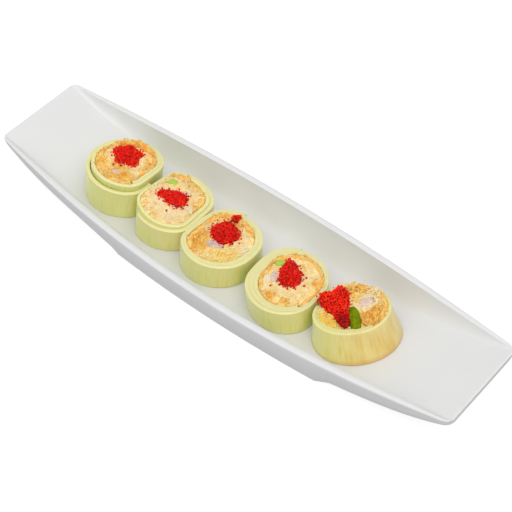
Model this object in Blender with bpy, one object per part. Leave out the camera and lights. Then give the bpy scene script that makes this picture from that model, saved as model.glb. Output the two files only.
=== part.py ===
"""Boat-shaped porcelain dish with five cucumber-wrapped maki rolls, in metres, +Z up.

The origin is on the table under the middle of the dish. +X runs along the dish and +Y to its
far side. Each roll stands on the dish's curved floor: a long peel of cucumber wound round a
shredded crab filling, with salmon, shrimp and avocado beside it and a heap of roe on top.
"""
import math
import random
from dataclasses import dataclass

import bmesh
import bpy
from mathutils import Vector, noise

MM = 0.001
TAU = 2 * math.pi
TOUCH_GAP = 0.3 * MM

# The dish
DISH_LENGTH = 356.4 * MM
DISH_END_HALF_WIDTH = 33.8 * MM
DISH_MIDDLE_HALF_WIDTH = 49.4 * MM
DISH_CORNER = 5 * MM
RIM_HEIGHT_MIDDLE = 25 * MM
RIM_HEIGHT_END = 33 * MM
RIM_THICKNESS = 4.4 * MM
FLOOR_HEIGHT = 5 * MM
FLOOR_CURVE = 2.5
WALL_RUN_MIDDLE = 15 * MM
WALL_RUN_END = 3 * MM
END_THICKNESS = 5.4 * MM
END_ROUNDING = 1.6 * MM
FOOT_LEFT_END = -70 * MM
FOOT_RIGHT_END = 88 * MM
FOOT_INSET = 6 * MM
FOOT_INSET_END = 1.6 * MM
FOOT_RING_WIDTH = 7 * MM
FOOT_RECESS = 1.6 * MM
FOOT_BEVEL = 0.8 * MM
UNDERSIDE_SLOPE = 0.55
CROWN_HEIGHT = 1.3 * MM
WALL_STEPS = 4
WALL_LEAN = 1.25
WALL_HOLLOW = 2.1
# Places of the dish's sections: from each end inwards, and along the middle
END_STATIONS = (0.0, 0.5, 1.6, 3.2, 5.5, 13.0, 23.0, 34.0, 46.0, 58.0, 70.0)
MIDDLE_STATIONS = (-93, -46, -23, 0, 23, 46, 66)
RING_STEP = 0.3 * MM
FOOT_BLEND = 10 * MM

# The food, shared by all rolls
SPIRAL_STEPS = 28
ROUND_STEPS = 30
SHEET_GAP = 0.36 * MM
FILLING_CLEARANCE = 0.15 * MM
OUTLINE_SOFTNESS = 13
CONTACT_REACH = 0.2
LIP_ROUNDING = 0.6 * MM
LIP_WAVE = 0.25 * MM
FILLING_EDGE = 0.9 * MM
SHRED_HEIGHT = 1.0 * MM
SHRED_SIZE = 3.2 * MM
CRUMB_HEIGHT = 0.7 * MM
CRUMB_SIZE = 1.9 * MM
SALMON_CRUMB = 0.5 * MM
SALMON_CRUMB_SIZE = 3 * MM
STICK_EDGE = 0.8 * MM
STICK_BUMP = 0.3 * MM
STICK_BUMP_SIZE = 2.4 * MM
ROE_SINK = 1.4 * MM
ROE_GRAIN = 0.8 * MM
ROE_SPACE = 0.9 * MM
ROE_BUMP = 0.55 * MM
ROE_BUMP_SIZE = 1.1 * MM
ROE_RAGGED = 0.5 * MM
STRAY_LIFT = 0.3 * MM
CUTTER_REACH = 12 * MM
CUTTER_DEPTH = 60 * MM
CLUMP_DOME = 1.2
GOLDEN_TURN = 2.4

COLOURS = {
    "porcelain": ((0.86, 0.86, 0.85), 0.18),
    "cucumber": ((0.60, 0.64, 0.24), 0.35),
    "salmon": ((0.78, 0.38, 0.10), 0.45),
    "crab": ((0.90, 0.68, 0.36), 0.5),
    "shrimp": ((0.66, 0.50, 0.46), 0.35),
    "avocado": ((0.26, 0.42, 0.06), 0.4),
    "roe": ((0.75, 0.03, 0.01), 0.2),
}


@dataclass(frozen=True)
class Contact:
    """A flat side where a roll presses against its neighbour."""

    turn: float
    foot: float
    top: float


@dataclass(frozen=True)
class Blob:
    """A rounded piece seen from above, placed from the roll's axis, in millimetres."""

    across: float
    away: float
    long: float
    short: float
    turn: float = 0.0
    lobes: int = 3
    lobe_depth: float = 0.0
    lobe_turn: float = 0.0
    lift: float = 0.0

    def outline(self, angle, grow=0.0):
        """Point of the outline at an angle about the piece's own middle."""
        wobble = 1 + self.lobe_depth * math.cos(self.lobes * (angle - math.radians(self.lobe_turn)))
        along = (self.long * wobble * MM + grow) * math.cos(angle)
        side = (self.short * wobble * MM + grow) * math.sin(angle)
        turn = math.radians(self.turn)
        across = self.across * MM + along * math.cos(turn) - side * math.sin(turn)
        away = self.away * MM + along * math.sin(turn) + side * math.cos(turn)
        return across, away


@dataclass(frozen=True)
class Roll:
    """One roll: its place, lean and outline, its cucumber peel and what fills it."""

    number: int
    x: float
    y: float
    lean: float
    foot_radius: float
    top_radius: float
    height: float
    core_height: float
    free_end: float
    winding: int
    turns: float
    pitch: float
    pitch_swing: float
    pitch_turn: float
    contacts: tuple
    shrimp: Blob
    roe: Blob
    roe_dome: float
    salmon_span: tuple
    salmon_width: float
    salmon_lift: float = 0.5
    salmon_push: float = 0.0
    salmon_push_turn: float = 90.0
    waves: tuple = ()
    core_tilt: float = 0.0
    core_tilt_turn: float = 0.0
    slack: float = 0.0
    slack_turn: float = -100.0
    flare: float = 0.0
    filling_slope: float = 0.0
    filling_slope_turn: float = 0.0
    filling_drop: float = 0.8
    avocado: Blob = None
    clump: Blob = None
    strays: tuple = ()

    def stand(self, across, away, up):
        """World point of a place given across the roll, away from the viewer and up its axis."""
        lean = math.radians(self.lean)
        x = self.x * MM + across * math.cos(lean) + up * math.sin(lean)
        base = dish_floor(self.x * MM) + TOUCH_GAP
        z = base - across * math.sin(lean) + up * math.cos(lean)
        return Vector((x, self.y * MM + away, z))

    def rest(self, across, away):
        """World point on the roll's underside, which follows the dish's floor."""
        x = self.x * MM + across * math.cos(math.radians(self.lean))
        return Vector((x, self.y * MM + away, dish_floor(x) + TOUCH_GAP))

    def outline(self, angle, share):
        """Outer radius at an angle, at a share of the way up the wall."""
        radius = (self.foot_radius + (self.top_radius - self.foot_radius) * share) * MM
        radius += self.flare * MM * max(1 - share, 0.0) ** 3
        for count, depth, turn in self.waves:
            radius *= 1 + depth * math.cos(count * (angle - math.radians(turn)))
        tightness = radius ** -OUTLINE_SOFTNESS
        for contact in self.contacts:
            facing = math.cos(angle - math.radians(contact.turn))
            if facing > CONTACT_REACH:
                flat = (contact.foot + (contact.top - contact.foot) * share) * MM / facing
                tightness += flat ** -OUTLINE_SOFTNESS
        return tightness ** (-1 / OUTLINE_SOFTNESS)

    def layer_pitch(self, angle):
        """Radial distance from one turn of peel to the next at an angle."""
        swing = math.cos(angle - math.radians(self.pitch_turn))
        return self.pitch * MM * (1 + self.pitch_swing * swing)

    def slack_at(self, angle, turned):
        """How far the turns inside the outermost one stand off from it."""
        inside = smooth((turned - 0.75 * TAU) / (0.5 * TAU))
        facing = max(0.0, math.cos(angle - math.radians(self.slack_turn)))
        return self.slack * MM * inside * facing

    def peel_angle(self, turned):
        """Angle about the axis after the peel has turned inwards from its free end."""
        return math.radians(self.free_end) + self.winding * turned

    def peel_radius(self, turned, share):
        """Outer radius of the peel after it has turned inwards from its free end."""
        angle = self.peel_angle(turned)
        inset = self.layer_pitch(angle) * turned / TAU + self.slack_at(angle, turned)
        return self.outline(angle, share) - inset

    def peel_top(self, turned):
        """Height of the peel's lip up the roll's axis."""
        angle = self.peel_angle(turned)
        core = smooth((turned / TAU - 0.15) / 0.9)
        height = self.height + (self.core_height - self.height) * core
        height += self.core_tilt * core * math.cos(angle - math.radians(self.core_tilt_turn))
        return height * MM + LIP_WAVE * math.sin(3 * angle + self.number)

    def filling_radius(self, angle, share):
        """Radius left for the filling inside the innermost turn."""
        total = self.turns * TAU
        past = (self.winding * (angle - self.peel_angle(total))) % TAU
        turned = total + past if past < 1.05 * TAU / ROUND_STEPS else total - (TAU - past)
        inset = self.layer_pitch(angle) * (turned / TAU + 1) + self.slack_at(angle, turned)
        return self.outline(angle, share) - inset - FILLING_CLEARANCE

    def salmon_depth(self, index):
        """Radial width of the salmon at a step round the roll, none where it has none."""
        first, last = self.salmon_span
        if not first <= index <= last:
            return 0.0
        swell = 1 + 0.35 * math.sin(1.9 * index + self.number) + 0.2 * math.sin(0.8 * index)
        ends = 1.0
        if last - first < ROUND_STEPS - 1:
            ends = min(1.0, 0.45 + 0.3 * min(index - first, last - index))
        return self.salmon_width * MM * swell * ends

    def salmon_top(self, angle, radius):
        """Height of the salmon's crumbly top up the roll's axis."""
        across = radius * math.cos(angle)
        away = radius * math.sin(angle)
        crumb = noise.noise(Vector((across, away, self.number * MM)) / SALMON_CRUMB_SIZE)
        facing = math.cos(angle - math.radians(self.salmon_push_turn))
        raised = self.salmon_lift + self.salmon_push * smooth(2 * facing - 1)
        return self.filling_top(across, away) + raised * MM + SALMON_CRUMB * crumb

    def filling_top(self, across, away):
        """Height of the filling's smooth top up the roll's axis."""
        turn = math.radians(self.filling_slope_turn)
        along = across * math.cos(turn) + away * math.sin(turn)
        core_turn = math.radians(self.core_tilt_turn)
        tilt = across * math.cos(core_turn) + away * math.sin(core_turn)
        rise = self.filling_slope * along + self.core_tilt * tilt / self.top_radius
        return (self.core_height - self.filling_drop) * MM + rise


def smooth(value):
    """Ease from 0 to 1."""
    share = min(max(value, 0.0), 1.0)
    return share * share * (3 - 2 * share)


def dish_share(x):
    """How far along the dish x lies, from 0 in the middle to 1 at an end."""
    return min(abs(x) / (DISH_LENGTH / 2), 1.0)


def dish_floor(x):
    """Height of the dish's floor."""
    return FLOOR_HEIGHT + (RIM_HEIGHT_END - FLOOR_HEIGHT) * dish_share(x) ** FLOOR_CURVE


def dish_rim(x):
    """Height of the dish's rim."""
    return RIM_HEIGHT_MIDDLE + (RIM_HEIGHT_END - RIM_HEIGHT_MIDDLE) * dish_share(x) ** 2


def dish_half_width(x):
    """Half width of the dish at its rim, with its rounded corners."""
    bulge = (DISH_MIDDLE_HALF_WIDTH - DISH_END_HALF_WIDTH) * (1 - dish_share(x) ** 2)
    past = abs(x) - (DISH_LENGTH / 2 - DISH_CORNER)
    corner = 0.0
    if past > 0:
        corner = DISH_CORNER - math.sqrt(max(DISH_CORNER ** 2 - past ** 2, 0.0))
    return DISH_END_HALF_WIDTH + bulge - corner


def dish_underside(x):
    """Height of the dish's underside: flat at the foot, then rising below the floor."""
    past = max(FOOT_LEFT_END - x, x - FOOT_RIGHT_END)
    if past <= 0:
        return 0.0
    return min(past * UNDERSIDE_SLOPE, dish_floor(x) - END_THICKNESS)


def dish_section(x):
    """Points (y, z) of the dish's near half section, from under its middle to its floor."""
    share = dish_share(x)
    half = dish_half_width(x)
    rim = dish_rim(x)
    floor = dish_floor(x)
    under = dish_underside(x)
    over = min(max(abs(x) - DISH_LENGTH / 2 + END_ROUNDING, 0.0), END_ROUNDING)
    rounding = END_ROUNDING - math.sqrt(END_ROUNDING ** 2 - over ** 2)
    inset = FOOT_INSET + (FOOT_INSET_END - FOOT_INSET) * smooth((share - 0.5) / 0.5)
    foot = half - inset
    ring = foot - FOOT_RING_WIDTH
    hollow = FOOT_LEFT_END + FOOT_RING_WIDTH < x < FOOT_RIGHT_END - FOOT_RING_WIDTH
    recess = FOOT_RECESS if hollow else 0.0
    run = WALL_RUN_MIDDLE + (WALL_RUN_END - WALL_RUN_MIDDLE) * share ** 3
    lip = min(RIM_THICKNESS, RIM_THICKNESS * (0.35 + 0.65 * (1 - share ** 6)))
    crown = min(CROWN_HEIGHT, 0.45 * (rim - under))
    points = [
        (0.0, under + recess + rounding),
        (ring - FOOT_BEVEL, under + recess + rounding),
        (ring, under + rounding),
        (foot - FOOT_BEVEL, under + rounding),
        (foot, under + 0.75 * FOOT_BEVEL + rounding),
        (foot + 0.64 * inset, under + 0.42 * (rim - under)),
        (half - 0.07 * RIM_THICKNESS, under + 0.78 * (rim - under) - 0.2 * rounding),
        (half, rim - crown - 0.4 * rounding),
        (half - 0.07 * lip, rim - 0.3 * crown - 0.7 * rounding),
        (half - 0.24 * lip, rim - rounding),
        (half - 0.62 * lip, rim - rounding),
    ]
    wall_top = rim - 0.35 * crown - rounding
    wall_height = max(wall_top - floor + rounding, 0.0)
    for step in range(WALL_STEPS + 1):
        down = step / WALL_STEPS
        y = half - lip - (run - lip * 0.5) * down ** WALL_LEAN
        z = floor - rounding + wall_height * (1 - down) ** WALL_HOLLOW
        points.append((y, z))
    points.append((0.0, floor - rounding))
    return points


def dish_stations():
    """Places along the dish where its section is taken, close together where it turns."""
    half = DISH_LENGTH / 2
    sides = sorted(half - step * MM for step in END_STATIONS)
    middle = [x * MM for x in MIDDLE_STATIONS]
    foot = []
    for end, inwards in ((FOOT_LEFT_END, 1), (FOOT_RIGHT_END, -1)):
        ring = end + inwards * FOOT_RING_WIDTH
        foot += [end - inwards * FOOT_BLEND, end, ring - RING_STEP, ring + RING_STEP]
    return [-x for x in reversed(sides)] + sorted(foot + middle) + sides


def mesh_object(name, mesh_data, material, smooth_angle=math.radians(40)):
    """Make a scene object from a bmesh, outward-facing and shaded smooth."""
    bmesh.ops.recalc_face_normals(mesh_data, faces=mesh_data.faces)
    bmesh.ops.triangulate(mesh_data, faces=mesh_data.faces)
    if mesh_data.calc_volume(signed=True) < 0:
        bmesh.ops.reverse_faces(mesh_data, faces=mesh_data.faces)
    mesh = bpy.data.meshes.new(name)
    mesh_data.to_mesh(mesh)
    mesh_data.free()
    mesh.shade_smooth()
    mesh.set_sharp_from_angle(angle=smooth_angle)
    piece = bpy.data.objects.new(name, mesh)
    bpy.context.scene.collection.objects.link(piece)
    if material is not None:
        mesh.materials.append(material)
    return piece


def loft(rings, closed):
    """Skin a row of rings with equal numbers of points, and close or cap its ends."""
    mesh_data = bmesh.new()
    rows = [[mesh_data.verts.new(point) for point in ring] for ring in rings]
    pairs = list(zip(rows, rows[1:]))
    if closed:
        pairs.append((rows[-1], rows[0]))
    count = len(rows[0])
    for low, high in pairs:
        for index in range(count):
            following = (index + 1) % count
            corners = (low[index], low[following], high[following], high[index])
            mesh_data.faces.new(corners)
    if not closed:
        mesh_data.faces.new(rows[0])
        mesh_data.faces.new(list(reversed(rows[-1])))
    return mesh_data


def column(outlines, middle, top, bottom, shares):
    """Closed upright body between two surfaces, from nested copies of its outlines.

    outlines holds the (across, away) points of the top's edge and of the bottom's, middle their
    centre. top and bottom turn such a point into a world point. shares are the sizes of the
    top's nested rings, largest first.
    """
    mesh_data = bmesh.new()

    def nested(outline, surface, sizes):
        rows = []
        for size in sizes:
            row = []
            for across, away in outline:
                point = surface(middle[0] + (across - middle[0]) * size,
                                middle[1] + (away - middle[1]) * size, size)
                row.append(mesh_data.verts.new(point))
            rows.append(row)
        return rows

    count = len(outlines[0])
    upper = nested(outlines[0], top, shares)
    lower = nested(outlines[1], bottom, (1.0, 0.5))
    peak = mesh_data.verts.new(top(middle[0], middle[1], 0.0))
    base = mesh_data.verts.new(bottom(middle[0], middle[1], 0.0))
    bands = list(zip(upper, upper[1:])) + list(zip(reversed(lower), list(reversed(lower))[1:]))
    bands.append((lower[0], upper[0]))
    for first, second in bands:
        for index in range(count):
            following = (index + 1) % count
            mesh_data.faces.new((first[index], first[following], second[following], second[index]))
    for row, tip in ((upper[-1], peak), (lower[-1], base)):
        for index in range(count):
            mesh_data.faces.new((row[index], row[(index + 1) % count], tip))
    return mesh_data


def make_material(name):
    """One plain material for a kind of piece."""
    colour, roughness = COLOURS[name]
    material = bpy.data.materials.new(name)
    material.use_nodes = True
    shader = material.node_tree.nodes["Principled BSDF"]
    shader.inputs["Base Color"].default_value = (*colour, 1.0)
    shader.inputs["Roughness"].default_value = roughness
    shader.inputs["Metallic"].default_value = 0.0
    material.diffuse_color = (*colour, 1.0)
    return material


def make_dish(material):
    """The long dish: a thin body on a flat foot ring, with ends that rise to the rim."""
    rings = []
    for x in dish_stations():
        half = dish_section(x)
        near = [Vector((x, -y, z)) for y, z in half]
        far = [Vector((x, y, z)) for y, z in reversed(half[1:-1])]
        rings.append(near + far)
    return mesh_object("plate", loft(rings, closed=False), material)


def make_cucumber(roll, material):
    """The peel: one long sheet wound inwards from its free end, with a rounded lip."""
    steps = round(roll.turns * SPIRAL_STEPS)
    sections = []
    for step in range(steps + 1):
        turned = step * TAU / SPIRAL_STEPS
        angle = roll.peel_angle(turned)
        lip = roll.peel_top(turned)
        thickness = roll.layer_pitch(angle) - SHEET_GAP
        section = []
        edge = ((0.0, 0.0), (0.0, lip - LIP_ROUNDING), (0.4, lip),
                (1.0, lip - 0.7 * LIP_ROUNDING), (1.0, 0.0))
        for depth, up in edge:
            share = up / (roll.height * MM)
            radius = roll.peel_radius(turned, share) - depth * thickness
            across = radius * math.cos(angle)
            away = radius * math.sin(angle)
            section.append(roll.stand(across, away, up) if up > 0 else roll.rest(across, away))
        sections.append(section)
    return mesh_object(f"roll_{roll.number}_cucumber", loft(sections, closed=False), material)


def make_salmon(roll, material):
    """The salmon: an uneven upright ring just inside the peel."""
    first, last = roll.salmon_span
    closed = last - first >= ROUND_STEPS - 1
    sections = []
    for index in range(first, last + 1):
        angle = index * TAU / ROUND_STEPS
        depth = roll.salmon_depth(index)
        section = []
        for inward, raised in ((0.0, None), (0.0, -0.5), (0.5, 0.4), (1.0, -0.3), (1.0, None)):
            if raised is None:
                radius = roll.filling_radius(angle, 0.0) - inward * depth
                section.append(roll.rest(radius * math.cos(angle), radius * math.sin(angle)))
                continue
            radius = roll.filling_radius(angle, 1.0)
            up = roll.salmon_top(angle, radius) + raised * MM
            radius = roll.filling_radius(angle, up / (roll.height * MM)) - inward * depth
            section.append(roll.stand(radius * math.cos(angle), radius * math.sin(angle), up))
        sections.append(section)
    return mesh_object(f"roll_{roll.number}_salmon", loft(sections, closed), material)


def crab_outline(roll, at_top):
    """Edge of the crab filling: inside the peel, and inside the salmon where that runs."""
    first, last = roll.salmon_span
    depths = [0.0] * ROUND_STEPS
    for index in range(first, last + 1):
        depths[index % ROUND_STEPS] = roll.salmon_depth(index)
    points = []
    for index in range(ROUND_STEPS):
        angle = index * TAU / ROUND_STEPS
        beside = max(depths[index - 1], depths[(index + 1) % ROUND_STEPS])
        depth = depths[index] if depths[index] > 0 else beside
        radius = roll.filling_radius(angle, 1.0 if at_top else 0.0)
        if at_top:
            up = roll.filling_top(radius * math.cos(angle), radius * math.sin(angle))
            radius = roll.filling_radius(angle, up / (roll.height * MM))
        radius -= depth + (TOUCH_GAP if depth > 0 else 0.0)
        points.append((radius * math.cos(angle), radius * math.sin(angle)))
    return points


def make_crab(roll, material):
    """The shredded crab: the filling's main body, with crossing shreds as relief on its top."""

    def top(across, away, size):
        shreds = noise.noise(Vector((across * 0.5, away * 1.6, roll.number * MM)) / SHRED_SIZE)
        crumbs = noise.noise(Vector((across, away, roll.number * MM)) / CRUMB_SIZE)
        up = roll.filling_top(across, away) + SHRED_HEIGHT * shreds + CRUMB_HEIGHT * crumbs
        up -= FILLING_EDGE * smooth((size - 0.85) / 0.15)
        return roll.stand(across, away, up)

    def bottom(across, away, _size):
        return roll.rest(across, away)

    outlines = (crab_outline(roll, True), crab_outline(roll, False))
    body = column(outlines, (0.0, 0.0), top, bottom, (1.0, 0.87, 0.73, 0.58, 0.42, 0.24))
    return mesh_object(f"roll_{roll.number}_crab", body, material)


def blob_column(roll, blob, name, material, low=None, high=None, grow=0.0, steps=12):
    """Upright piece with a blob's outline, from the dish's floor or a set depth to its top."""

    def top(across, away, size):
        up = roll.filling_top(across, away) + blob.lift * MM
        if high is not None:
            return roll.stand(across, away, roll.filling_top(across, away) + high)
        bump = noise.noise(Vector((across, away, roll.number * MM)) / STICK_BUMP_SIZE)
        edge = STICK_EDGE * smooth((size - 0.7) / 0.3)
        return roll.stand(across, away, up + STICK_BUMP * bump - edge)

    def bottom(across, away, _size):
        if low is None:
            return roll.rest(across, away)
        return roll.stand(across, away, roll.filling_top(across, away) + low)

    outline = [blob.outline(step * TAU / steps, grow) for step in range(steps)]
    middle = (blob.across * MM, blob.away * MM)
    shares = (1.0,) if high is not None else (1.0, 0.7, 0.35)
    return mesh_object(name, column((outline, outline), middle, top, bottom, shares), material)


def make_roe(roll, blob, name, material, dome, steps, grains):
    """A heap of roe: a domed core with egg-sized bumps, and loose grains fused on it."""
    middle = (blob.across * MM, blob.away * MM)

    def surface(across, away, size):
        up = roll.filling_top(across, away) + blob.lift * MM
        up += dome * MM * math.sqrt(max(1 - (0.97 * size) ** 2, 0.0)) - 0.5 * ROE_GRAIN
        egg = noise.noise(Vector((across, away, 0.0)) / ROE_BUMP_SIZE)
        return up + ROE_BUMP * egg * (1 - 0.5 * size)

    def top(across, away, size):
        return roll.stand(across, away, surface(across, away, size))

    def bottom(across, away, _size):
        return roll.stand(across, away, roll.filling_top(across, away) - ROE_SINK)

    outline = []
    draw = random.Random(40 + roll.number)
    for step in range(steps):
        ragged = draw.uniform(-ROE_RAGGED, ROE_RAGGED)
        outline.append(blob.outline(step * TAU / steps, ragged))
    shares = (1.0, 0.9, 0.76, 0.6, 0.42, 0.22) if steps > 12 else (1.0, 0.6)
    core = mesh_object(name, column((outline, outline), middle, top, bottom, shares), material)
    loose = []
    for number in range(grains):
        angle = number * GOLDEN_TURN
        size = 0.82 * math.sqrt((number + 0.6) / grains)
        edge = blob.outline(angle)
        across = middle[0] + (edge[0] - middle[0]) * size
        away = middle[1] + (edge[1] - middle[1]) * size
        loose.append(roll.stand(across, away, surface(across, away, size) + 0.35 * ROE_GRAIN))
    fuse(core, [grain_object(f"{name}_grain_{number}", place) for number, place in enumerate(loose)])
    return core


def grain_object(name, place):
    """One egg of roe."""
    egg = bmesh.new()
    bmesh.ops.create_icosphere(egg, subdivisions=1, radius=ROE_GRAIN)
    bmesh.ops.translate(egg, verts=egg.verts, vec=place)
    return mesh_object(name, egg, None)


def fuse(core, extras):
    """Join extra bodies into a core with one Boolean union, and remove the extras."""
    if not extras:
        return
    group = bpy.data.collections.new(f"{core.name}_extras")
    for extra in extras:
        group.objects.link(extra)
    union = core.modifiers.new("union", "BOOLEAN")
    union.operation = "UNION"
    union.operand_type = "COLLECTION"
    union.collection = group
    union.solver = "MANIFOLD"
    apply_modifiers(core)
    for extra in extras:
        bpy.data.objects.remove(extra)
    bpy.data.collections.remove(group)


def cut(piece, cutters):
    """Take the cutters' shapes out of a piece, and remove the cutters."""
    for number, cutter in enumerate(cutters):
        difference = piece.modifiers.new(f"cut_{number}", "BOOLEAN")
        difference.operation = "DIFFERENCE"
        difference.object = cutter
        difference.solver = "MANIFOLD"
    apply_modifiers(piece)
    for cutter in cutters:
        bpy.data.objects.remove(cutter)


def apply_modifiers(piece):
    """Bake a piece's modifiers into its mesh."""
    graph = bpy.context.evaluated_depsgraph_get()
    mesh = bpy.data.meshes.new_from_object(piece.evaluated_get(graph))
    piece.modifiers.clear()
    piece.data = mesh


def make_roll(roll, materials):
    """All the pieces of one roll."""
    make_cucumber(roll, materials["cucumber"])
    prefix = f"roll_{roll.number}"
    heaps = [(roll.roe, f"{prefix}_roe", roll.roe_dome, 20, 8)]
    if roll.clump is not None:
        heaps.append((roll.clump, f"{prefix}_roe_clump", CLUMP_DOME, 10, 2))
    sticks = [(roll.shrimp, "shrimp")]
    if roll.avocado is not None:
        sticks.append((roll.avocado, "avocado"))

    def roe_spaces():
        pit = -ROE_SINK - TOUCH_GAP
        return [blob_column(roll, heap[0], "roe_space", None, pit, CUTTER_REACH, ROE_SPACE, 24)
                for heap in heaps]

    cut(make_salmon(roll, materials["salmon"]), roe_spaces())
    crab = make_crab(roll, materials["crab"])
    spaces = roe_spaces()
    for blob, kind in sticks:
        stick = blob_column(roll, blob, f"{prefix}_{kind}", materials[kind])
        cut(stick, roe_spaces())
        spaces.append(blob_column(roll, blob, "space", None, -CUTTER_DEPTH, CUTTER_REACH, TOUCH_GAP))
    cut(crab, spaces)
    for blob, name, dome, steps, grains in heaps:
        make_roe(roll, blob, name, materials["roe"], dome, steps, grains)
    grains = []
    for across, away in roll.strays:
        up = roll.filling_top(across * MM, away * MM) + STRAY_LIFT
        place = roll.stand(across * MM, away * MM, up)
        grains.append(grain_object(f"{prefix}_stray_{len(grains)}", place))
    fuse(crab, grains)


ROLLS = (
    Roll(
        number=1, x=-97.5, y=-4.4, lean=8.5,
        foot_radius=24.6, top_radius=24.6, height=24.6, core_height=29.6,
        free_end=2, winding=-1, turns=2.1, pitch=2.5, pitch_swing=0.1, pitch_turn=180,
        contacts=(Contact(0, 22.0, 22.0),), waves=((2, 0.08, 40),),
        slack=1.2, slack_turn=-110,
        shrimp=Blob(0.4, -9.8, 3.4, 2.0, 20),
        roe=Blob(-1.9, 5.0, 10.2, 9.2, 20, 5, 0.13, 30),
        roe_dome=3.2, salmon_span=(0, 29), salmon_width=2.3, salmon_lift=0.6,
        salmon_push=3.6, salmon_push_turn=112,
        strays=((-4.4, -7.2),),
    ),
    Roll(
        number=2, x=-56.8, y=-2.1, lean=7.3,
        foot_radius=25.4, top_radius=25.4, height=21.0, core_height=24.5,
        free_end=-116, winding=1, turns=1.6, pitch=2.5, pitch_swing=0.15, pitch_turn=40,
        contacts=(Contact(175, 20.2, 20.0), Contact(0, 22.1, 21.6)), waves=((2, 0.045, 40),),
        core_tilt=2.0, core_tilt_turn=180,
        shrimp=Blob(1.5, 8.3, 3.0, 2.4, 20),
        roe=Blob(-1.4, 0.3, 12.0, 6.6, 20, 3, 0.12, 60),
        roe_dome=3.0, salmon_span=(0, 12), salmon_width=3.2,
        avocado=Blob(-10.0, 9.0, 3.6, 2.3, 40, lift=0.5),
        strays=((2.0, -10.5),),
    ),
    Roll(
        number=3, x=-13.2, y=-5.0, lean=4.0,
        foot_radius=26.4, top_radius=26.0, height=20.3, core_height=20.3,
        free_end=95, winding=1, turns=2.0, pitch=2.2, pitch_swing=0.25, pitch_turn=-10,
        contacts=(Contact(175, 22.9, 22.0), Contact(0, 27.6, 26.6)), waves=((2, 0.045, 40),),
        shrimp=Blob(0.2, -5.6, 6.6, 3.4, 30, lift=0.4),
        roe=Blob(-1.2, 4.4, 9.9, 9.6, 0, 4, 0.08, 20),
        roe_dome=4.0, salmon_span=(4, 20), salmon_width=3.6,
        salmon_push=1.6, salmon_push_turn=85,
        clump=Blob(-3.6, 17.4, 3.2, 1.9, 60, lift=0.8),
    ),
    Roll(
        number=4, x=40.5, y=-4.6, lean=-4.8,
        foot_radius=27.6, top_radius=27.8, height=17.6, core_height=18.0,
        free_end=110, winding=1, turns=2.6, pitch=2.1, pitch_swing=0.3, pitch_turn=215,
        contacts=(Contact(180, 26.6, 25.8), Contact(0, 26.2, 26.8)), waves=((2, 0.035, 130),),
        shrimp=Blob(-8.8, -1.8, 5.4, 2.6, 125, lift=0.3),
        roe=Blob(-1.7, 4.8, 11.6, 7.0, 130, 3, 0.1, 0),
        roe_dome=3.4, salmon_span=(0, 29), salmon_width=2.2,
        avocado=Blob(-9.6, 10.2, 3.8, 2.2, 35, lift=0.6),
        strays=((11.2, 2.6), (8.4, 8.4), (-5.6, -9.2)),
    ),
    Roll(
        number=5, x=91.6, y=-2.1, lean=-14.0,
        foot_radius=25.6, top_radius=23.2, height=21.0, core_height=21.0,
        free_end=-160, winding=1, turns=1.4, pitch=2.2, pitch_swing=0.1, pitch_turn=180,
        contacts=(Contact(180, 26.2, 22.8),), waves=((2, 0.05, 40),),
        flare=1.6,
        shrimp=Blob(4.6, 8.2, 5.0, 3.2, 60, lift=0.8),
        roe=Blob(-7.6, -2.2, 12.6, 8.2, -42, 3, 0.16, 10, lift=1.4),
        roe_dome=3.6, salmon_span=(-2, 10), salmon_width=3.2,
        filling_slope=0.22, filling_slope_turn=130, filling_drop=0.0,
        avocado=Blob(6.0, -5.6, 9.2, 3.2, -50, lift=1.6),
    ),
)


def main():
    """Clear the scene and model the dish and its rolls."""
    for leftover in list(bpy.data.objects):
        bpy.data.objects.remove(leftover)
    materials = {name: make_material(name) for name in COLOURS}
    make_dish(materials["porcelain"])
    for roll in ROLLS:
        make_roll(roll, materials)


main()
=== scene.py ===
"""Looks of a boat-shaped porcelain dish with five cucumber-wrapped maki rolls.

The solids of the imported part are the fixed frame. Each of them is replaced here by a finer
piece of the same form: the dish's smooth glazed body, the wound sheets of cucumber with their
soft lips and fibres, and the fillings with their shreds, flakes and single eggs of roe.
Lengths are in metres unless a name or a comment says millimetres.
"""
from __future__ import annotations

import logging
from collections.abc import Callable, Iterable
from dataclasses import dataclass, field
from enum import Enum
from math import atan2, cos, hypot, pi, radians, sin, sqrt

import bpy
import numpy as np
from bpy.types import Mesh, Node, NodeSocket, NodeTree, Object
from mathutils import Matrix, Vector, noise


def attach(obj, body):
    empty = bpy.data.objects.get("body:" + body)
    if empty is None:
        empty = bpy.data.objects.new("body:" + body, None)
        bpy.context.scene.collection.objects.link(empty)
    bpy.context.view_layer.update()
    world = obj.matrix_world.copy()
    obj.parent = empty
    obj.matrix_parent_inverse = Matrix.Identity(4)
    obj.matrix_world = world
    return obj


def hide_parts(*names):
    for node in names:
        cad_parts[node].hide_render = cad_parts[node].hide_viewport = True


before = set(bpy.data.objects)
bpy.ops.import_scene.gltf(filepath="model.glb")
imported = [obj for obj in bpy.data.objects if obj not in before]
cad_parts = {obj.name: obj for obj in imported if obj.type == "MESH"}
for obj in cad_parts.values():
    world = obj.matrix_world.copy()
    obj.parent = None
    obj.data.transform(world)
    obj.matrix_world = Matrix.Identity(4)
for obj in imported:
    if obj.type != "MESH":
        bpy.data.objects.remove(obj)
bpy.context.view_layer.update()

log = logging.getLogger("maki_rolls")

MM = 0.001
TAU = 2 * pi
TOUCH_GAP = 0.3 * MM
MERGE = 1e-6
SMOOTH_BELOW = radians(50)
GOLDEN_TURN = 2.39996
WHITE = (1.0, 1.0, 1.0, 1.0)
BODY = "root"
Flat = tuple[float, float]


def smooth(value: float) -> float:
    """Ease from 0 to 1."""
    share = min(max(value, 0.0), 1.0)
    return share * share * (3 - 2 * share)


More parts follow.
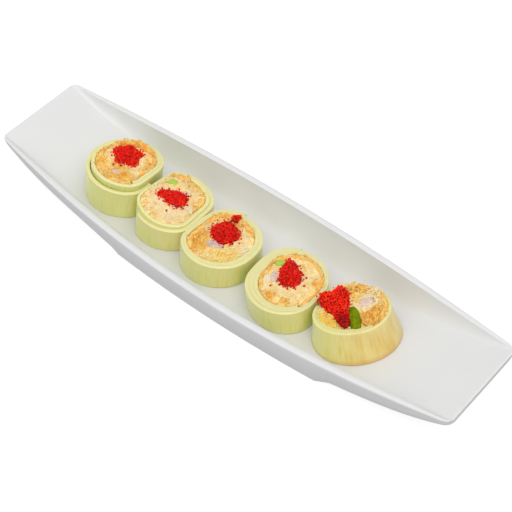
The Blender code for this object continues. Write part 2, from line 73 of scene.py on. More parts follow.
def crumble(point: tuple[float, float, float], size: float) -> float:
    """Smooth noise from about -1 to 1 with bumps of a given size."""
    return noise.noise(Vector(point) / size)


def polar(radius: float, angle: float) -> Flat:
    """Place (across, away) at a radius and an angle about an axis."""
    return radius * cos(angle), radius * sin(angle)


def facing(angle: float, turn: float, waves: int = 1) -> float:
    """Cosine between an angle and a direction in degrees, or of several waves from it."""
    return cos(waves * (angle - radians(turn)))


def reach_along(across: float, away: float, turn: float) -> float:
    """How far out a place lies in a direction given in degrees."""
    return across * cos(radians(turn)) + away * sin(radians(turn))


def rows_of(sizes: Iterable[float], columns: int, place: Callable[[float, float], object]) -> list:
    """Rows of places, one row for each size and each a full turn about an axis.

    Args:
        sizes: The size of each row, as the place function takes it.
        columns: How many steps make the turn.
        place: Gives the place at a size and an angle.

    Returns:
        The rows.
    """
    return [[place(size, TAU * column / columns) for column in range(columns + 1)] for size in sizes]


def rings_of(count: int, outermost: float = 1.0) -> list[float]:
    """Sizes of nested rings, from 0 in the middle to the outermost."""
    return [outermost * ring / count for ring in range(count + 1)]


def srgb(red: int, green: int, blue: int) -> tuple[float, float, float, float]:
    """Linear colour of a display colour given from 0 to 255.

    Args:
        red: Red, from 0 to 255.
        green: Green, from 0 to 255.
        blue: Blue, from 0 to 255.

    Returns:
        The colour with its alpha.
    """

    def linear(value: int) -> float:
        """Linear share of one display value."""
        share = value / 255
        return share / 12.92 if share <= 0.04045 else ((share + 0.055) / 1.055) ** 2.4

    return linear(red), linear(green), linear(blue), 1.0


# Making meshes


def deselect_all() -> None:
    """Leave nothing selected, because operators act on all that is."""
    bpy.ops.object.select_all(action="DESELECT")


def signed_volume(mesh: Mesh) -> float:
    """Volume inside a closed mesh, negative where its faces point inwards.

    Args:
        mesh: The closed mesh.

    Returns:
        The volume in cubic metres.
    """
    mesh.calc_loop_triangles()
    corners = np.empty(len(mesh.loop_triangles) * 3, dtype=np.int32)
    mesh.loop_triangles.foreach_get("vertices", corners)
    places = np.empty(len(mesh.vertices) * 3, dtype=np.float32)
    mesh.vertices.foreach_get("co", places)
    tri = places.reshape(-1, 3)[corners.reshape(-1, 3)].astype(float)
    return float(np.einsum("ij,ij->i", tri[:, 0], np.cross(tri[:, 1], tri[:, 2])).sum() / 6)


def mark_points(mesh: Mesh, label: str, values: np.ndarray) -> None:
    """Keep a value for the material at each point of a mesh."""
    attribute = mesh.attributes.new(label, "FLOAT", "POINT")
    attribute.data.foreach_set("value", values.astype(np.float32).ravel())


def tinted(points: np.ndarray, tint: float) -> dict[str, np.ndarray]:
    """Marks of one tint for all points of a grid."""
    return {"tint": np.full(points.shape[:2], tint)}


def skin(name: str, points: np.ndarray, uv: np.ndarray | None = None,
         marks: dict[str, np.ndarray] | None = None) -> Object:
    """Closed piece from a grid primitive, moved onto rows of points and sewn together.

    Args:
        name: The piece's name.
        points: Places as rows x columns x 3. Rows or columns that meet themselves are merged,
            and what stays open is filled.
        uv: Optional pattern coordinates, as rows x columns x 2.
        marks: Optional values for the material at each point, as rows x columns.

    Returns:
        The new object, with its faces outwards.
    """
    rows, columns = points.shape[:2]
    deselect_all()
    bpy.ops.mesh.primitive_grid_add(x_subdivisions=columns - 1, y_subdivisions=rows - 1, size=1.0)
    piece = bpy.context.active_object
    piece.name = name
    mesh = piece.data
    mesh.name = name
    mesh.vertices.foreach_set("co", points.astype(np.float32).ravel())
    if uv is not None:
        corner = np.empty(len(mesh.loops), dtype=np.int32)
        mesh.loops.foreach_get("vertex_index", corner)
        flat = uv.reshape(-1, 2)[corner].astype(np.float32)
        mesh.uv_layers.active.data.foreach_set("uv", flat.ravel())
    for label, values in (marks or {}).items():
        mark_points(mesh, label, values)
    bpy.ops.object.mode_set(mode="EDIT")
    bpy.ops.mesh.select_all(action="SELECT")
    bpy.ops.mesh.remove_doubles(threshold=MERGE)
    bpy.ops.mesh.fill_holes(sides=0)
    bpy.ops.mesh.select_all(action="SELECT")
    bpy.ops.mesh.normals_make_consistent(inside=False)
    bpy.ops.object.mode_set(mode="OBJECT")
    if signed_volume(mesh) < 0:
        mesh.flip_normals()
    bpy.ops.object.shade_smooth_by_angle(angle=SMOOTH_BELOW)
    return piece


@dataclass
class Model:
    """One small thing, modelled once, as arrays that copies are made from."""

    points: np.ndarray
    faces: list[tuple[int, ...]]

    @classmethod
    def of(cls, piece: Object) -> Model:
        """Read an object into arrays and remove it.

        Args:
            piece: The object.

        Returns:
            The model.
        """
        mesh = piece.data
        points = np.array([vertex.co for vertex in mesh.vertices], dtype=float)
        faces = [tuple(face.vertices) for face in mesh.polygons]
        bpy.data.objects.remove(piece)
        return cls(points, faces)


@dataclass
class Copy:
    """Where one copy of a small thing lies, its size and how it bends."""

    place: Vector
    turn: Matrix
    size: tuple[float, float, float]
    bend: float = 0.0
    tint: float = 0.5
    warm: float = 0.0
    yellow: float = 0.0


def scatter(name: str, model: Model, copies: list[Copy]) -> Object:
    """One joined mesh of many copies of a model.

    Args:
        name: The piece's name.
        model: The thing to copy, about 1 unit long.
        copies: Place, turn, size, bend and tint of each copy.

    Returns:
        The new object, whose marks for the material differ from copy to copy.
    """
    count = len(model.points)
    every = np.empty((len(copies) * count, 3))
    faces: list[tuple[int, ...]] = []
    for number, copy in enumerate(copies):
        local = model.points * np.array(copy.size)
        local[:, 1] += copy.bend * copy.size[0] * (model.points[:, 0] ** 2 - 0.1)
        turned = local @ np.array(copy.turn).T + np.array(copy.place)
        first = number * count
        every[first:first + count] = turned
        faces += [tuple(first + corner for corner in face) for face in model.faces]
    mesh = bpy.data.meshes.new(name)
    mesh.from_pydata(every.tolist(), [], faces)
    mesh.shade_smooth()
    for label in ("tint", "warm", "yellow"):
        mark_points(mesh, label, np.repeat([getattr(copy, label) for copy in copies], count))
    piece = bpy.data.objects.new(name, mesh)
    bpy.context.scene.collection.objects.link(piece)
    return piece


def join(name: str, pieces: list[Object]) -> Object:
    """One object from several that share a finish.

    Args:
        name: Its name.
        pieces: The objects, the first of which stays.

    Returns:
        The joined object.
    """
    deselect_all()
    for piece in pieces:
        piece.select_set(True)
    bpy.context.view_layer.objects.active = pieces[0]
    bpy.ops.object.join()
    pieces[0].name = name
    pieces[0].data.name = name
    return pieces[0]


def tilted(draw: np.random.Generator, spread: float) -> Vector:
    """Direction near upright, tilted at random."""
    return Vector((draw.normal(0, spread), draw.normal(0, spread), 1.0))


def turned_to(normal: Vector, spin: float) -> Matrix:
    """Turn that lays a copy's Z along a surface's normal and spins it about it."""
    return normal.to_track_quat("Z", "Y").to_matrix() @ Matrix.Rotation(spin, 3, "Z")


# Materials


def set_inputs(node: Node, **values: object) -> None:
    """Set constants on a node's own sockets, named with _ for a blank."""
    for label, value in values.items():
        node.inputs[label.replace("_", " ")].default_value = value


class NodeSketch:
    """Short way to add and wire the nodes of one tree."""

    def __init__(self, tree: NodeTree) -> None:
        """Keep the tree that nodes are added to."""
        self.tree = tree

    def add(self, kind: str, **values: object) -> Node:
        """New node with settings by attribute name and inputs by socket name.

        Args:
            kind: Blender's name of the node type.
            values: Settings. A key in_NAME sets the input NAME, with _ for a blank.

        Returns:
            The node.
        """
        node = self.tree.nodes.new(kind)
        for key, value in values.items():
            if key.startswith("in_"):
                set_inputs(node, **{key[3:]: value})
            else:
                setattr(node, key, value)
        return node

    def wire(self, output: NodeSocket, target: NodeSocket) -> None:
        """Link an output to an input."""
        self.tree.links.new(output, target)

    def feed(self, target: NodeSocket, value: object) -> None:
        """Give an input a socket to follow or a constant.

        Args:
            target: The input.
            value: A socket or a constant.
        """
        if isinstance(value, NodeSocket):
            self.wire(value, target)
        else:
            target.default_value = value

    def mix(self, factor: NodeSocket | float, first: object,
            second: object) -> NodeSocket:
        """Blend of two colours, each a socket or a colour.

        Args:
            factor: Share of the second colour, a socket or a number.
            first: The first colour.
            second: The second colour.

        Returns:
            The blended colour.
        """
        node = self.add("ShaderNodeMix", data_type="RGBA")
        for index, value in ((0, factor), (6, first), (7, second)):
            self.feed(node.inputs[index], value)
        return node.outputs[2]

    def ramp(self, value: NodeSocket, low: float, high: float) -> NodeSocket:
        """Value eased from 0 at low to 1 at high.

        Args:
            value: The value to ease.
            low: Where the result is 0.
            high: Where the result is 1.

        Returns:
            The eased value.
        """
        node = self.add("ShaderNodeMapRange", interpolation_type="SMOOTHSTEP",
                        in_From_Min=low, in_From_Max=high)
        self.wire(value, node.inputs["Value"])
        return node.outputs["Result"]

    def math(self, operation: str, first: object, second: object = 0.0) -> NodeSocket:
        """Result of one sum of sockets or numbers.

        Args:
            operation: Blender's name of the sum.
            first: The first socket or number.
            second: The second socket or number.

        Returns:
            The result.
        """
        node = self.add("ShaderNodeMath", operation=operation)
        for socket, value in zip(node.inputs, (first, second)):
            self.feed(socket, value)
        return node.outputs[0]

    def mark(self, label: str) -> NodeSocket:
        """Value that the mesh carries under a name."""
        return self.add("ShaderNodeAttribute", attribute_name=label).outputs["Fac"]


def open_group(name: str, takes: dict[str, float],
               gives: tuple[str, ...]) -> tuple[NodeSketch, Node, Node]:
    """New node group of number sockets.

    Args:
        name: The group's name.
        takes: Its inputs with their usual values.
        gives: Its outputs.

    Returns:
        The sketch of its tree, the node of its inputs and the node of its outputs.
    """
    tree = bpy.data.node_groups.new(name, "ShaderNodeTree")
    for label, value in takes.items():
        socket = tree.interface.new_socket(name=label, in_out="INPUT", socket_type="NodeSocketFloat")
        socket.default_value = value
    for label in gives:
        tree.interface.new_socket(name=label, in_out="OUTPUT", socket_type="NodeSocketFloat")
    sketch = NodeSketch(tree)
    return sketch, sketch.add("NodeGroupInput"), sketch.add("NodeGroupOutput")


def mottle_group() -> NodeTree:
    """Node group for soft patches and fine grain, used by every filling.

    Returns:
        The group.
    """
    takes = {"Patch size": 3 * MM, "Grain size": 0.7 * MM, "Shift": 0.0}
    sketch, inputs, outputs = open_group("mottle", takes, ("Patches", "Grain"))
    place = sketch.add("ShaderNodeTexCoord")
    shifted = sketch.add("ShaderNodeVectorMath", operation="ADD")
    sketch.wire(place.outputs["Object"], shifted.inputs[0])
    sketch.wire(inputs.outputs["Shift"], shifted.inputs[1])
    for size, result, detail in (("Patch size", "Patches", 3.0), ("Grain size", "Grain", 2.0)):
        texture = sketch.add("ShaderNodeTexNoise", in_Detail=detail)
        scale = sketch.math("DIVIDE", 1.0, inputs.outputs[size])
        sketch.wire(scale, texture.inputs["Scale"])
        sketch.wire(shifted.outputs[0], texture.inputs["Vector"])
        sketch.wire(texture.outputs["Fac"], outputs.inputs[result])
    return sketch.tree


def fibre_group() -> NodeTree:
    """Node group for the upright fibres of cucumber flesh, along the piece's own UV map.

    Returns:
        The group.
    """
    sketch, inputs, outputs = open_group("fibres", {"Fine": 1.0}, ("Streaks", "Clouds"))
    place = sketch.add("ShaderNodeUVMap", uv_map="UVMap")
    for result, around, up, detail in (("Streaks", 1500.0, 60.0, 3.0), ("Clouds", 160.0, 60.0, 2.0)):
        stretch = sketch.add("ShaderNodeMapping", in_Scale=(around, up, 1.0))
        sketch.wire(place.outputs["UV"], stretch.inputs["Vector"])
        texture = sketch.add("ShaderNodeTexNoise", in_Detail=detail)
        sketch.wire(inputs.outputs["Fine"], texture.inputs["Scale"])
        sketch.wire(stretch.outputs["Vector"], texture.inputs["Vector"])
        sketch.wire(texture.outputs["Fac"], outputs.inputs[result])
    return sketch.tree


class Finish:
    """A material with a Principled BSDF and a bump that its subclasses wire."""

    def __init__(self, name: str, roughness: float) -> None:
        """Make the material with its shader, ready for its pattern.

        Args:
            name: Its name.
            roughness: How matt the surface is.
        """
        self.material = bpy.data.materials.new(name)
        self.material.use_nodes = True
        self.sketch = NodeSketch(self.material.node_tree)
        self.shader = self.material.node_tree.nodes["Principled BSDF"]
        self.tune(Roughness=roughness)

    def tune(self, **values: object) -> None:
        """Set constants on the shader's own sockets."""
        set_inputs(self.shader, **values)

    def flesh(self, weight: float, depth: float, radius: tuple[float, float, float]) -> None:
        """Let light a little way into the surface."""
        self.tune(Subsurface_Weight=weight, Subsurface_Scale=depth, Subsurface_Radius=radius)

    def bump(self, height: NodeSocket, depth: float) -> None:
        """Roughen the surface by a height pattern of a given depth.

        Args:
            height: The height pattern.
            depth: Depth of the relief.
        """
        node = self.sketch.add("ShaderNodeBump", in_Strength=1.0, in_Distance=depth)
        self.sketch.wire(height, node.inputs["Height"])
        self.sketch.wire(node.outputs["Normal"], self.shader.inputs["Normal"])

    def pattern(self, group: NodeTree, **values: float) -> Node:
        """Place a shared node group with its own values.

        Args:
            group: The shared group.
            values: Its inputs by name, with _ for a blank.

        Returns:
            The node.
        """
        node = self.sketch.add("ShaderNodeGroup", node_tree=group)
        set_inputs(node, **values)
        return node

    def dress(self, piece: Object, slot: str) -> None:
        """Give a piece this material.

        Args:
            piece: The object.
            slot: Not used.
        """
        piece.data.materials.clear()
        piece.data.materials.append(self.material)


class Porcelain(Finish):
    """White glaze with a faint unevenness."""

    def __init__(self, mottle: NodeTree) -> None:
        """Wire the glaze's faint tone and ripple.

        Args:
            mottle: The shared patches and grain.
        """
        super().__init__("porcelain_glaze", 0.3)
        pattern = self.pattern(mottle, Patch_size=26 * MM, Grain_size=7 * MM)
        colour = self.sketch.mix(pattern.outputs["Patches"], srgb(217, 218, 218), srgb(222, 222, 221))
        self.sketch.wire(colour, self.shader.inputs["Base Color"])
        rough = self.sketch.ramp(pattern.outputs["Grain"], -3.2, 3.8)
        uneven = self.sketch.math("MULTIPLY", rough, 0.6)
        self.sketch.wire(uneven, self.shader.inputs["Roughness"])
        self.tune(Coat_Weight=0.25, Coat_Roughness=0.15)
        self.bump(pattern.outputs["Grain"], 0.02 * MM)


class CucumberFlesh(Finish):
    """Moist translucent sheet with upright fibres, paler at its cut lip."""

    def __init__(self, fibres: NodeTree) -> None:
        """Wire the fibres, the pale lip, its cut layers and a deeper green as painted shade in the gaps
        and creases.

        Args:
            fibres: The shared fibres.
        """
        super().__init__("cucumber_flesh", 0.34)
        sketch = self.sketch
        pattern = self.pattern(fibres, Fine=1.0)
        streaks = sketch.ramp(pattern.outputs["Streaks"], 0.36, 0.66)
        clouds = sketch.ramp(pattern.outputs["Clouds"], 0.35, 0.65)
        green = sketch.mix(streaks, srgb(226, 233, 137), srgb(236, 242, 154))
        ripe = sketch.mix(streaks, srgb(217, 183, 96), srgb(227, 198, 112))
        wall = sketch.mix(sketch.mark("ripeness"), green, ripe)
        wall = sketch.mix(sketch.math("MULTIPLY", clouds, 0.35), wall, srgb(240, 232, 166))
        # Painted shade: a deeper green for the gaps between turns and the creases where a roll presses on
        # its neighbour.
        inner = sketch.mix(streaks, srgb(184, 196, 60), srgb(208, 214, 94))
        wall = sketch.mix(sketch.mark("inner"), wall, inner)
        wall = sketch.mix(sketch.mark("foot"), wall, srgb(206, 138, 72))
        cut = sketch.math("MULTIPLY", sketch.mark("across"), 14.0)
        bands = sketch.ramp(sketch.math("SINE", cut), -0.8, 0.9)
        lip = sketch.mix(bands, srgb(221, 215, 144), srgb(230, 223, 164))
        colour = sketch.mix(sketch.mark("lip"), wall, lip)
        sketch.wire(colour, self.shader.inputs["Base Color"])
        self.flesh(0.35, 2.5 * MM, (1.0, 1.0, 0.45))
        self.tune(Sheen_Weight=0.2, Sheen_Roughness=0.4, Coat_Weight=0.25, Coat_Roughness=0.25)
        self.bump(pattern.outputs["Streaks"], 0.035 * MM)


class Filling(Finish):
    """Soft food in two main tones with specks, its single bits varied by their tint."""

    def __init__(self, name: str, mottle: NodeTree, tones: tuple, patch: float,
                 grain: float, roughness: float, relief: float, shift: float = 0.0) -> None:
        """Wire tones, grain and relief.

        Args:
            name: The material's name.
            mottle: The shared pattern.
            tones: Colours low, high and fleck.
            patch: Size of the patches.
            grain: Size of the grain.
            roughness: How matt the surface is.
            relief: Depth of the bump.
            shift: Moves the pattern.
        """
        super().__init__(name, roughness)
        sketch = self.sketch
        pattern = self.pattern(mottle, Patch_size=patch, Grain_size=grain, Shift=shift)
        patches = sketch.ramp(pattern.outputs["Patches"], 0.38, 0.62)
        tone = sketch.mix(patches, tones[0], tones[1])
        own = sketch.math("MULTIPLY", sketch.ramp(sketch.mark("tint"), 0.3, 1.0), 0.8)
        tone = sketch.mix(own, tone, tones[2])
        tone = sketch.mix(sketch.ramp(sketch.mark("yellow"), 0.0, 1.0), tone, srgb(255, 214, 84))
        roasted = sketch.mix(patches, srgb(238, 166, 62), srgb(252, 200, 98))
        tone = sketch.mix(sketch.ramp(sketch.mark("warm"), 0.0, 1.0), tone, roasted)
        pale = sketch.math("MULTIPLY", sketch.mark("warm"), -1.0)
        tone = sketch.mix(sketch.ramp(pale, 0.0, 1.0), tone, srgb(255, 236, 208))
        specks = sketch.ramp(pattern.outputs["Grain"], 0.64, 0.76)
        tone = sketch.mix(sketch.math("MULTIPLY", specks, 0.55), tone, srgb(222, 142, 58))
        sketch.wire(tone, self.shader.inputs["Base Color"])
        self.flesh(0.3, 1.2 * MM, (1.0, 0.7, 0.4))
        self.tune(Specular_IOR_Level=0.2, Coat_Weight=0.08, Coat_Roughness=0.2)
        self.bump(pattern.outputs["Grain"], relief)


class RoeSkin(Finish):
    """Glossy wet egg, red with single darker and brighter ones; its darkest red also serves as painted
    shade.
    """

    def __init__(self) -> None:
        """Wire the eggs' tones by their tint."""
        super().__init__("roe_skin", 0.3)
        tint = self.sketch.mark("tint")
        low = self.sketch.mix(self.sketch.ramp(tint, 0.0, 0.5), srgb(146, 0, 0), srgb(230, 18, 1))
        colour = self.sketch.mix(self.sketch.ramp(tint, 0.55, 1.0), low, srgb(255, 62, 10))
        self.sketch.wire(colour, self.shader.inputs["Base Color"])
        self.flesh(0.1, 0.6 * MM, (1.0, 0.1, 0.03))
        self.tune(Specular_IOR_Level=0.2)


class Kind(Enum):
    """The kinds of piece, each with its name."""

    PORCELAIN = "porcelain"
    CUCUMBER = "cucumber"
    SALMON = "salmon"
    CRAB = "crab"
    SHRIMP = "shrimp"
    AVOCADO = "avocado"
    ROE = "roe"


class Finishes:
    """All materials of the object, made once."""

    def __init__(self) -> None:
        """Make the shared groups and each finish."""
        mottle = mottle_group()
        fibres = fibre_group()
        self.porcelain = Porcelain(mottle)
        self.cucumber = CucumberFlesh(fibres)
        self.salmon = Filling("cooked_salmon", mottle, (srgb(242, 176, 76), srgb(252, 206, 112),
                              srgb(255, 230, 170)), 3.4 * MM, 0.6 * MM, 0.42, 0.2 * MM)
        self.crab = Filling("dressed_crab", mottle, (srgb(255, 214, 134), srgb(255, 232, 168),
                            srgb(255, 242, 198)), 3.0 * MM, 0.5 * MM, 0.45, 0.2 * MM, 0.2)
        self.shrimp = Filling("shrimp_flesh", mottle, (srgb(192, 164, 154), srgb(212, 190, 180),
                              srgb(240, 218, 196)), 2.2 * MM, 1.2 * MM, 0.28, 0.1 * MM)
        self.avocado = Filling("avocado_flesh", mottle, (srgb(94, 112, 0), srgb(120, 136, 0),
                               srgb(178, 214, 92)), 2.4 * MM, 1.5 * MM, 0.4, 0.1 * MM)
        self.avocado.tune(Specular_IOR_Level=0.06, Coat_Weight=0.0)
        self.roe = RoeSkin()


# The dish


@dataclass
class Dish:
    """The long porcelain dish on its foot ring."""

    length: float = 356.4 * MM
    end_half_width: float = 33.8 * MM
    middle_half_width: float = 49.4 * MM
    corner: float = 5 * MM
    rim_middle: float = 25 * MM
    rim_end: float = 33 * MM
    rim_thickness: float = 4.4 * MM
    floor_middle: float = 5 * MM
    floor_curve: float = 2.5
    wall_run_middle: float = 15 * MM
    wall_run_end: float = 3 * MM
    end_thickness: float = 5.4 * MM
    end_rounding: float = 1.6 * MM
    foot_ends: Flat = (-70 * MM, 88 * MM)
    foot_inset: float = 6 * MM
    foot_inset_end: float = 1.6 * MM
    ring_width: float = 7 * MM
    ring_step: float = 0.3 * MM
    recess: float = 1.6 * MM
    bevel: float = 0.8 * MM
    underside_slope: float = 0.55
    crown_height: float = 1.3 * MM
    wall_lean: float = 1.25
    wall_hollow: float = 2.1
    stations: int = 150
    wall_steps: int = 18

    def share(self, x: float) -> float:
        """How far along the dish x lies, from 0 in the middle to 1 at an end."""
        return min(abs(x) / (self.length / 2), 1.0)

    def floor(self, x: float) -> float:
        """Height of the floor."""
        return self.floor_middle + (self.rim_end - self.floor_middle) * self.share(x) ** self.floor_curve

    def rim(self, x: float) -> float:
        """Height of the rim."""
        return self.rim_middle + (self.rim_end - self.rim_middle) * self.share(x) ** 2

    def half_width(self, x: float) -> float:
        """Half width at the rim, with the rounded corners.

        Args:
            x: Place along the dish.

        Returns:
            The half width.
        """
        bulge = (self.middle_half_width - self.end_half_width) * (1 - self.share(x) ** 2)
        past = abs(x) - (self.length / 2 - self.corner)
        cut = self.corner - sqrt(max(self.corner ** 2 - past ** 2, 0.0)) if past > 0 else 0.0
        return self.end_half_width + bulge - cut

    def underside(self, x: float) -> float:
        """Height of the underside: flat at the foot, then rising below the floor.

        Args:
            x: Place along the dish.

        Returns:
            The height.
        """
        past = max(self.foot_ends[0] - x, x - self.foot_ends[1])
        if past <= 0:
            return 0.0
        return min(past * self.underside_slope, self.floor(x) - self.end_thickness)

    def section(self, x: float) -> list[Flat]:
        """Points (y, z) of half a section, from under the middle round the lip to the floor.

        Args:
            x: Place along the dish.

        Returns:
            The points.
        """
        share, half, rim = self.share(x), self.half_width(x), self.rim(x)
        floor, under = self.floor(x), self.underside(x)
        over = min(max(abs(x) - self.length / 2 + self.end_rounding, 0.0), self.end_rounding)
        rounding = self.end_rounding - sqrt(self.end_rounding ** 2 - over ** 2)
        inset = self.foot_inset + (self.foot_inset_end - self.foot_inset) * smooth((share - 0.5) / 0.5)
        foot = half - inset
        ring = foot - self.ring_width
        hollow = self.foot_ends[0] + self.ring_width < x < self.foot_ends[1] - self.ring_width
        recess = self.recess if hollow else 0.0
        run = self.wall_run_middle + (self.wall_run_end - self.wall_run_middle) * share ** 3
        lip = min(self.rim_thickness, self.rim_thickness * (0.35 + 0.65 * (1 - share ** 6)))
        crown = min(self.crown_height, 0.45 * (rim - under))
        wall_top = rim - 0.35 * crown - rounding
        wall_height = max(wall_top - floor + rounding, 0.0)
        wall = []
        for step in range(self.wall_steps + 1):
            down = step / self.wall_steps
            y = half - lip - (run - lip * 0.5) * down ** self.wall_lean
            wall.append((y, floor - rounding + wall_height * (1 - down) ** self.wall_hollow))
        outer = [
            (foot, under + 0.75 * self.bevel + rounding),
            (foot + 0.64 * inset, under + 0.42 * (rim - under)),
            (half - 0.07 * self.rim_thickness, under + 0.78 * (rim - under) - 0.2 * rounding),
            (half, rim - crown - 0.4 * rounding),
            (half - 0.07 * lip, rim - 0.3 * crown - 0.7 * rounding),
            (half - 0.24 * lip, rim - rounding),
            (half - 0.62 * lip, rim - rounding),
            wall[0],
        ]
        bottom = [
            (0.0, under + recess + rounding),
            (ring - self.bevel, under + recess + rounding),
            (ring, under + rounding),
            (foot - self.bevel, under + rounding),
        ]
        return bottom + rounded(outer, 4) + wall[1:] + [(0.0, floor - rounding)]

    def places(self) -> list[float]:
        """Places of the sections, closer together towards the ends and at the foot ring.

        Returns:
            The places along the dish.
        """
        half = self.length / 2
        steps = range(-self.stations, self.stations + 1, 2)
        even = [half * sin(TAU / 4 * step / self.stations) for step in steps]
        ring = []
        for end, inwards in zip(self.foot_ends, (1, -1)):
            edge = end + inwards * self.ring_width
            ring += [end, edge - self.ring_step, edge + self.ring_step]
        return sorted(even + ring)

    def build(self, finishes: Finishes) -> Object:
        """Make the dish and replace its solid.

        Args:
            finishes: The object's materials.

        Returns:
            The dish.
        """
        rows = []
        for x in self.places():
            half = self.section(x)
            near = [(x, -y, z) for y, z in half]
            far = [(x, y, z) for y, z in reversed(half[:-1])]
            rows.append(near + far)
        piece = skin("dish_body", np.array(rows))
        finishes.porcelain.dress(piece, Kind.PORCELAIN.value)
        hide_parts("plate")
        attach(piece, BODY)
        return piece


def rounded(points: list[Flat], steps: int) -> list[Flat]:
    """Points of a smooth curve through given points.

    Args:
        points: The points to pass through.
        steps: How many pieces each gap is cut into.

    Returns:
        The curve, with the given points among its own.
    """
    knots = np.array([points[0], *points, points[-1]], dtype=float)
    curve = []
    for index in range(len(points) - 1):
        before, first, second, after = knots[index:index + 4]
        for step in range(steps):
            share = step / steps
            bend = (2 * first + (second - before) * share
                    + (2 * before - 5 * first + 4 * second - after) * share ** 2
                    + (3 * first - before - 3 * second + after) * share ** 3) / 2
            curve.append(tuple(bend))
    curve.append(points[-1])
    return curve


DISH = Dish()


# The rolls

# The small loose things: the least and the most of each size, in millimetres
SHRED_LONG = (2.2, 5.0)
SHRED_WIDE = (0.5, 0.9)
CRUMB_WIDE = (0.7, 1.5)
YELLOW_SHRED_LONG = (3.0, 5.5)
YELLOW_SHRED_WIDE = (0.7, 1.1)
FLAKE_WIDE = (0.8, 1.7)
EGG_RADIUS = (0.52, 0.74)
STRAY_EGG_RADIUS = 0.75
# How near a loose bit may lie to another piece, as a share of that piece's outline
BIT_CLEARANCE = 0.9
YELLOW_FROM_ROE = 0.95
YELLOW_FROM_SHRIMP = 1.1
# Flakes of salmon on a full ring, and yellow shreds for a spot whose radius is one millimetre
FLAKES = 260
YELLOW_SHREDS = 1.1
# The filling's relief as (height, size of its bumps), in millimetres
RELIEF = ((0.6, 3.6), (0.35, 1.5), (0.16, 0.8))
# The salmon's section as (share of its width inwards, height over the filling in millimetres),
# without a height on its underside
SALMON_SECTION = ((0.0, None), (0.0, -0.6), (0.15, 0.0), (0.35, 0.35), (0.55, 0.45),
                  (0.8, 0.25), (0.95, 0.0), (1.0, -0.3), (1.0, None), (0.0, None))
# The tint of the crab's core and the salmon's ring
FLESH_TINT = 0.3
# The heap's core: its tint, nearly the darkest red as painted shade in the gaps between eggs, its share
# of the outline, and how far it lies in the eggs and the filling
CORE_SHADE_TINT = 0.02
CORE_SHARE = 0.96
CORE_COVER = 0.3 * MM
CORE_DEPTH = 1.4 * MM
# The single eggs: how far past the outline they reach, their height about the heap's surface in
# millimetres, their form and how much their tint varies
EGG_REACH = 1.06
EGG_HEIGHT = (-0.45, 0.55)
EGG_FLATNESS = 0.95
TINT_SPREAD = 0.2


@dataclass(frozen=True)
class Contact:
    """A flat side where a roll presses against its neighbour."""

    turn: float
    foot: float
    top: float


@dataclass(frozen=True)
class Blob:
    """A rounded piece seen from above, placed from the roll's axis, in millimetres."""

    across: float
    away: float
    long: float
    short: float
    turn: float = 0.0
    lobes: int = 3
    lobe_depth: float = 0.0
    lobe_turn: float = 0.0
    lift: float = 0.0

    def wobble(self, angle: float) -> float:
        """How much the lobes stretch the outline at an angle."""
        return 1 + self.lobe_depth * facing(angle, self.lobe_turn, self.lobes)

    def outline(self, angle: float, size: float = 1.0) -> Flat:
        """Point (across, away) of the outline, or of a smaller copy, at an angle.

        Args:
            angle: Angle about the axis.
            size: Share of the way out to the outline.

        Returns:
            The point.
        """
        stretch = self.wobble(angle) * size * MM
        along = self.long * stretch * cos(angle)
        side = self.short * stretch * sin(angle)
        turn = radians(self.turn)
        across = self.across * MM + along * cos(turn) - side * sin(turn)
        away = self.away * MM + along * sin(turn) + side * cos(turn)
        return across, away

    def reach(self, across: float, away: float) -> float:
        """How far out a place is: 0 at the middle, 1 on the outline, more beyond it.

        Args:
            across: Place across, from the axis.
            away: Place away from the viewer, from the axis.

        Returns:
            How far out it is.
        """
        x, y = across - self.across * MM, away - self.away * MM
        along = reach_along(x, y, self.turn) / (self.long * MM)
        side = reach_along(x, y, self.turn + 90) / (self.short * MM)
        return hypot(along, side) / self.wobble(atan2(side, along))


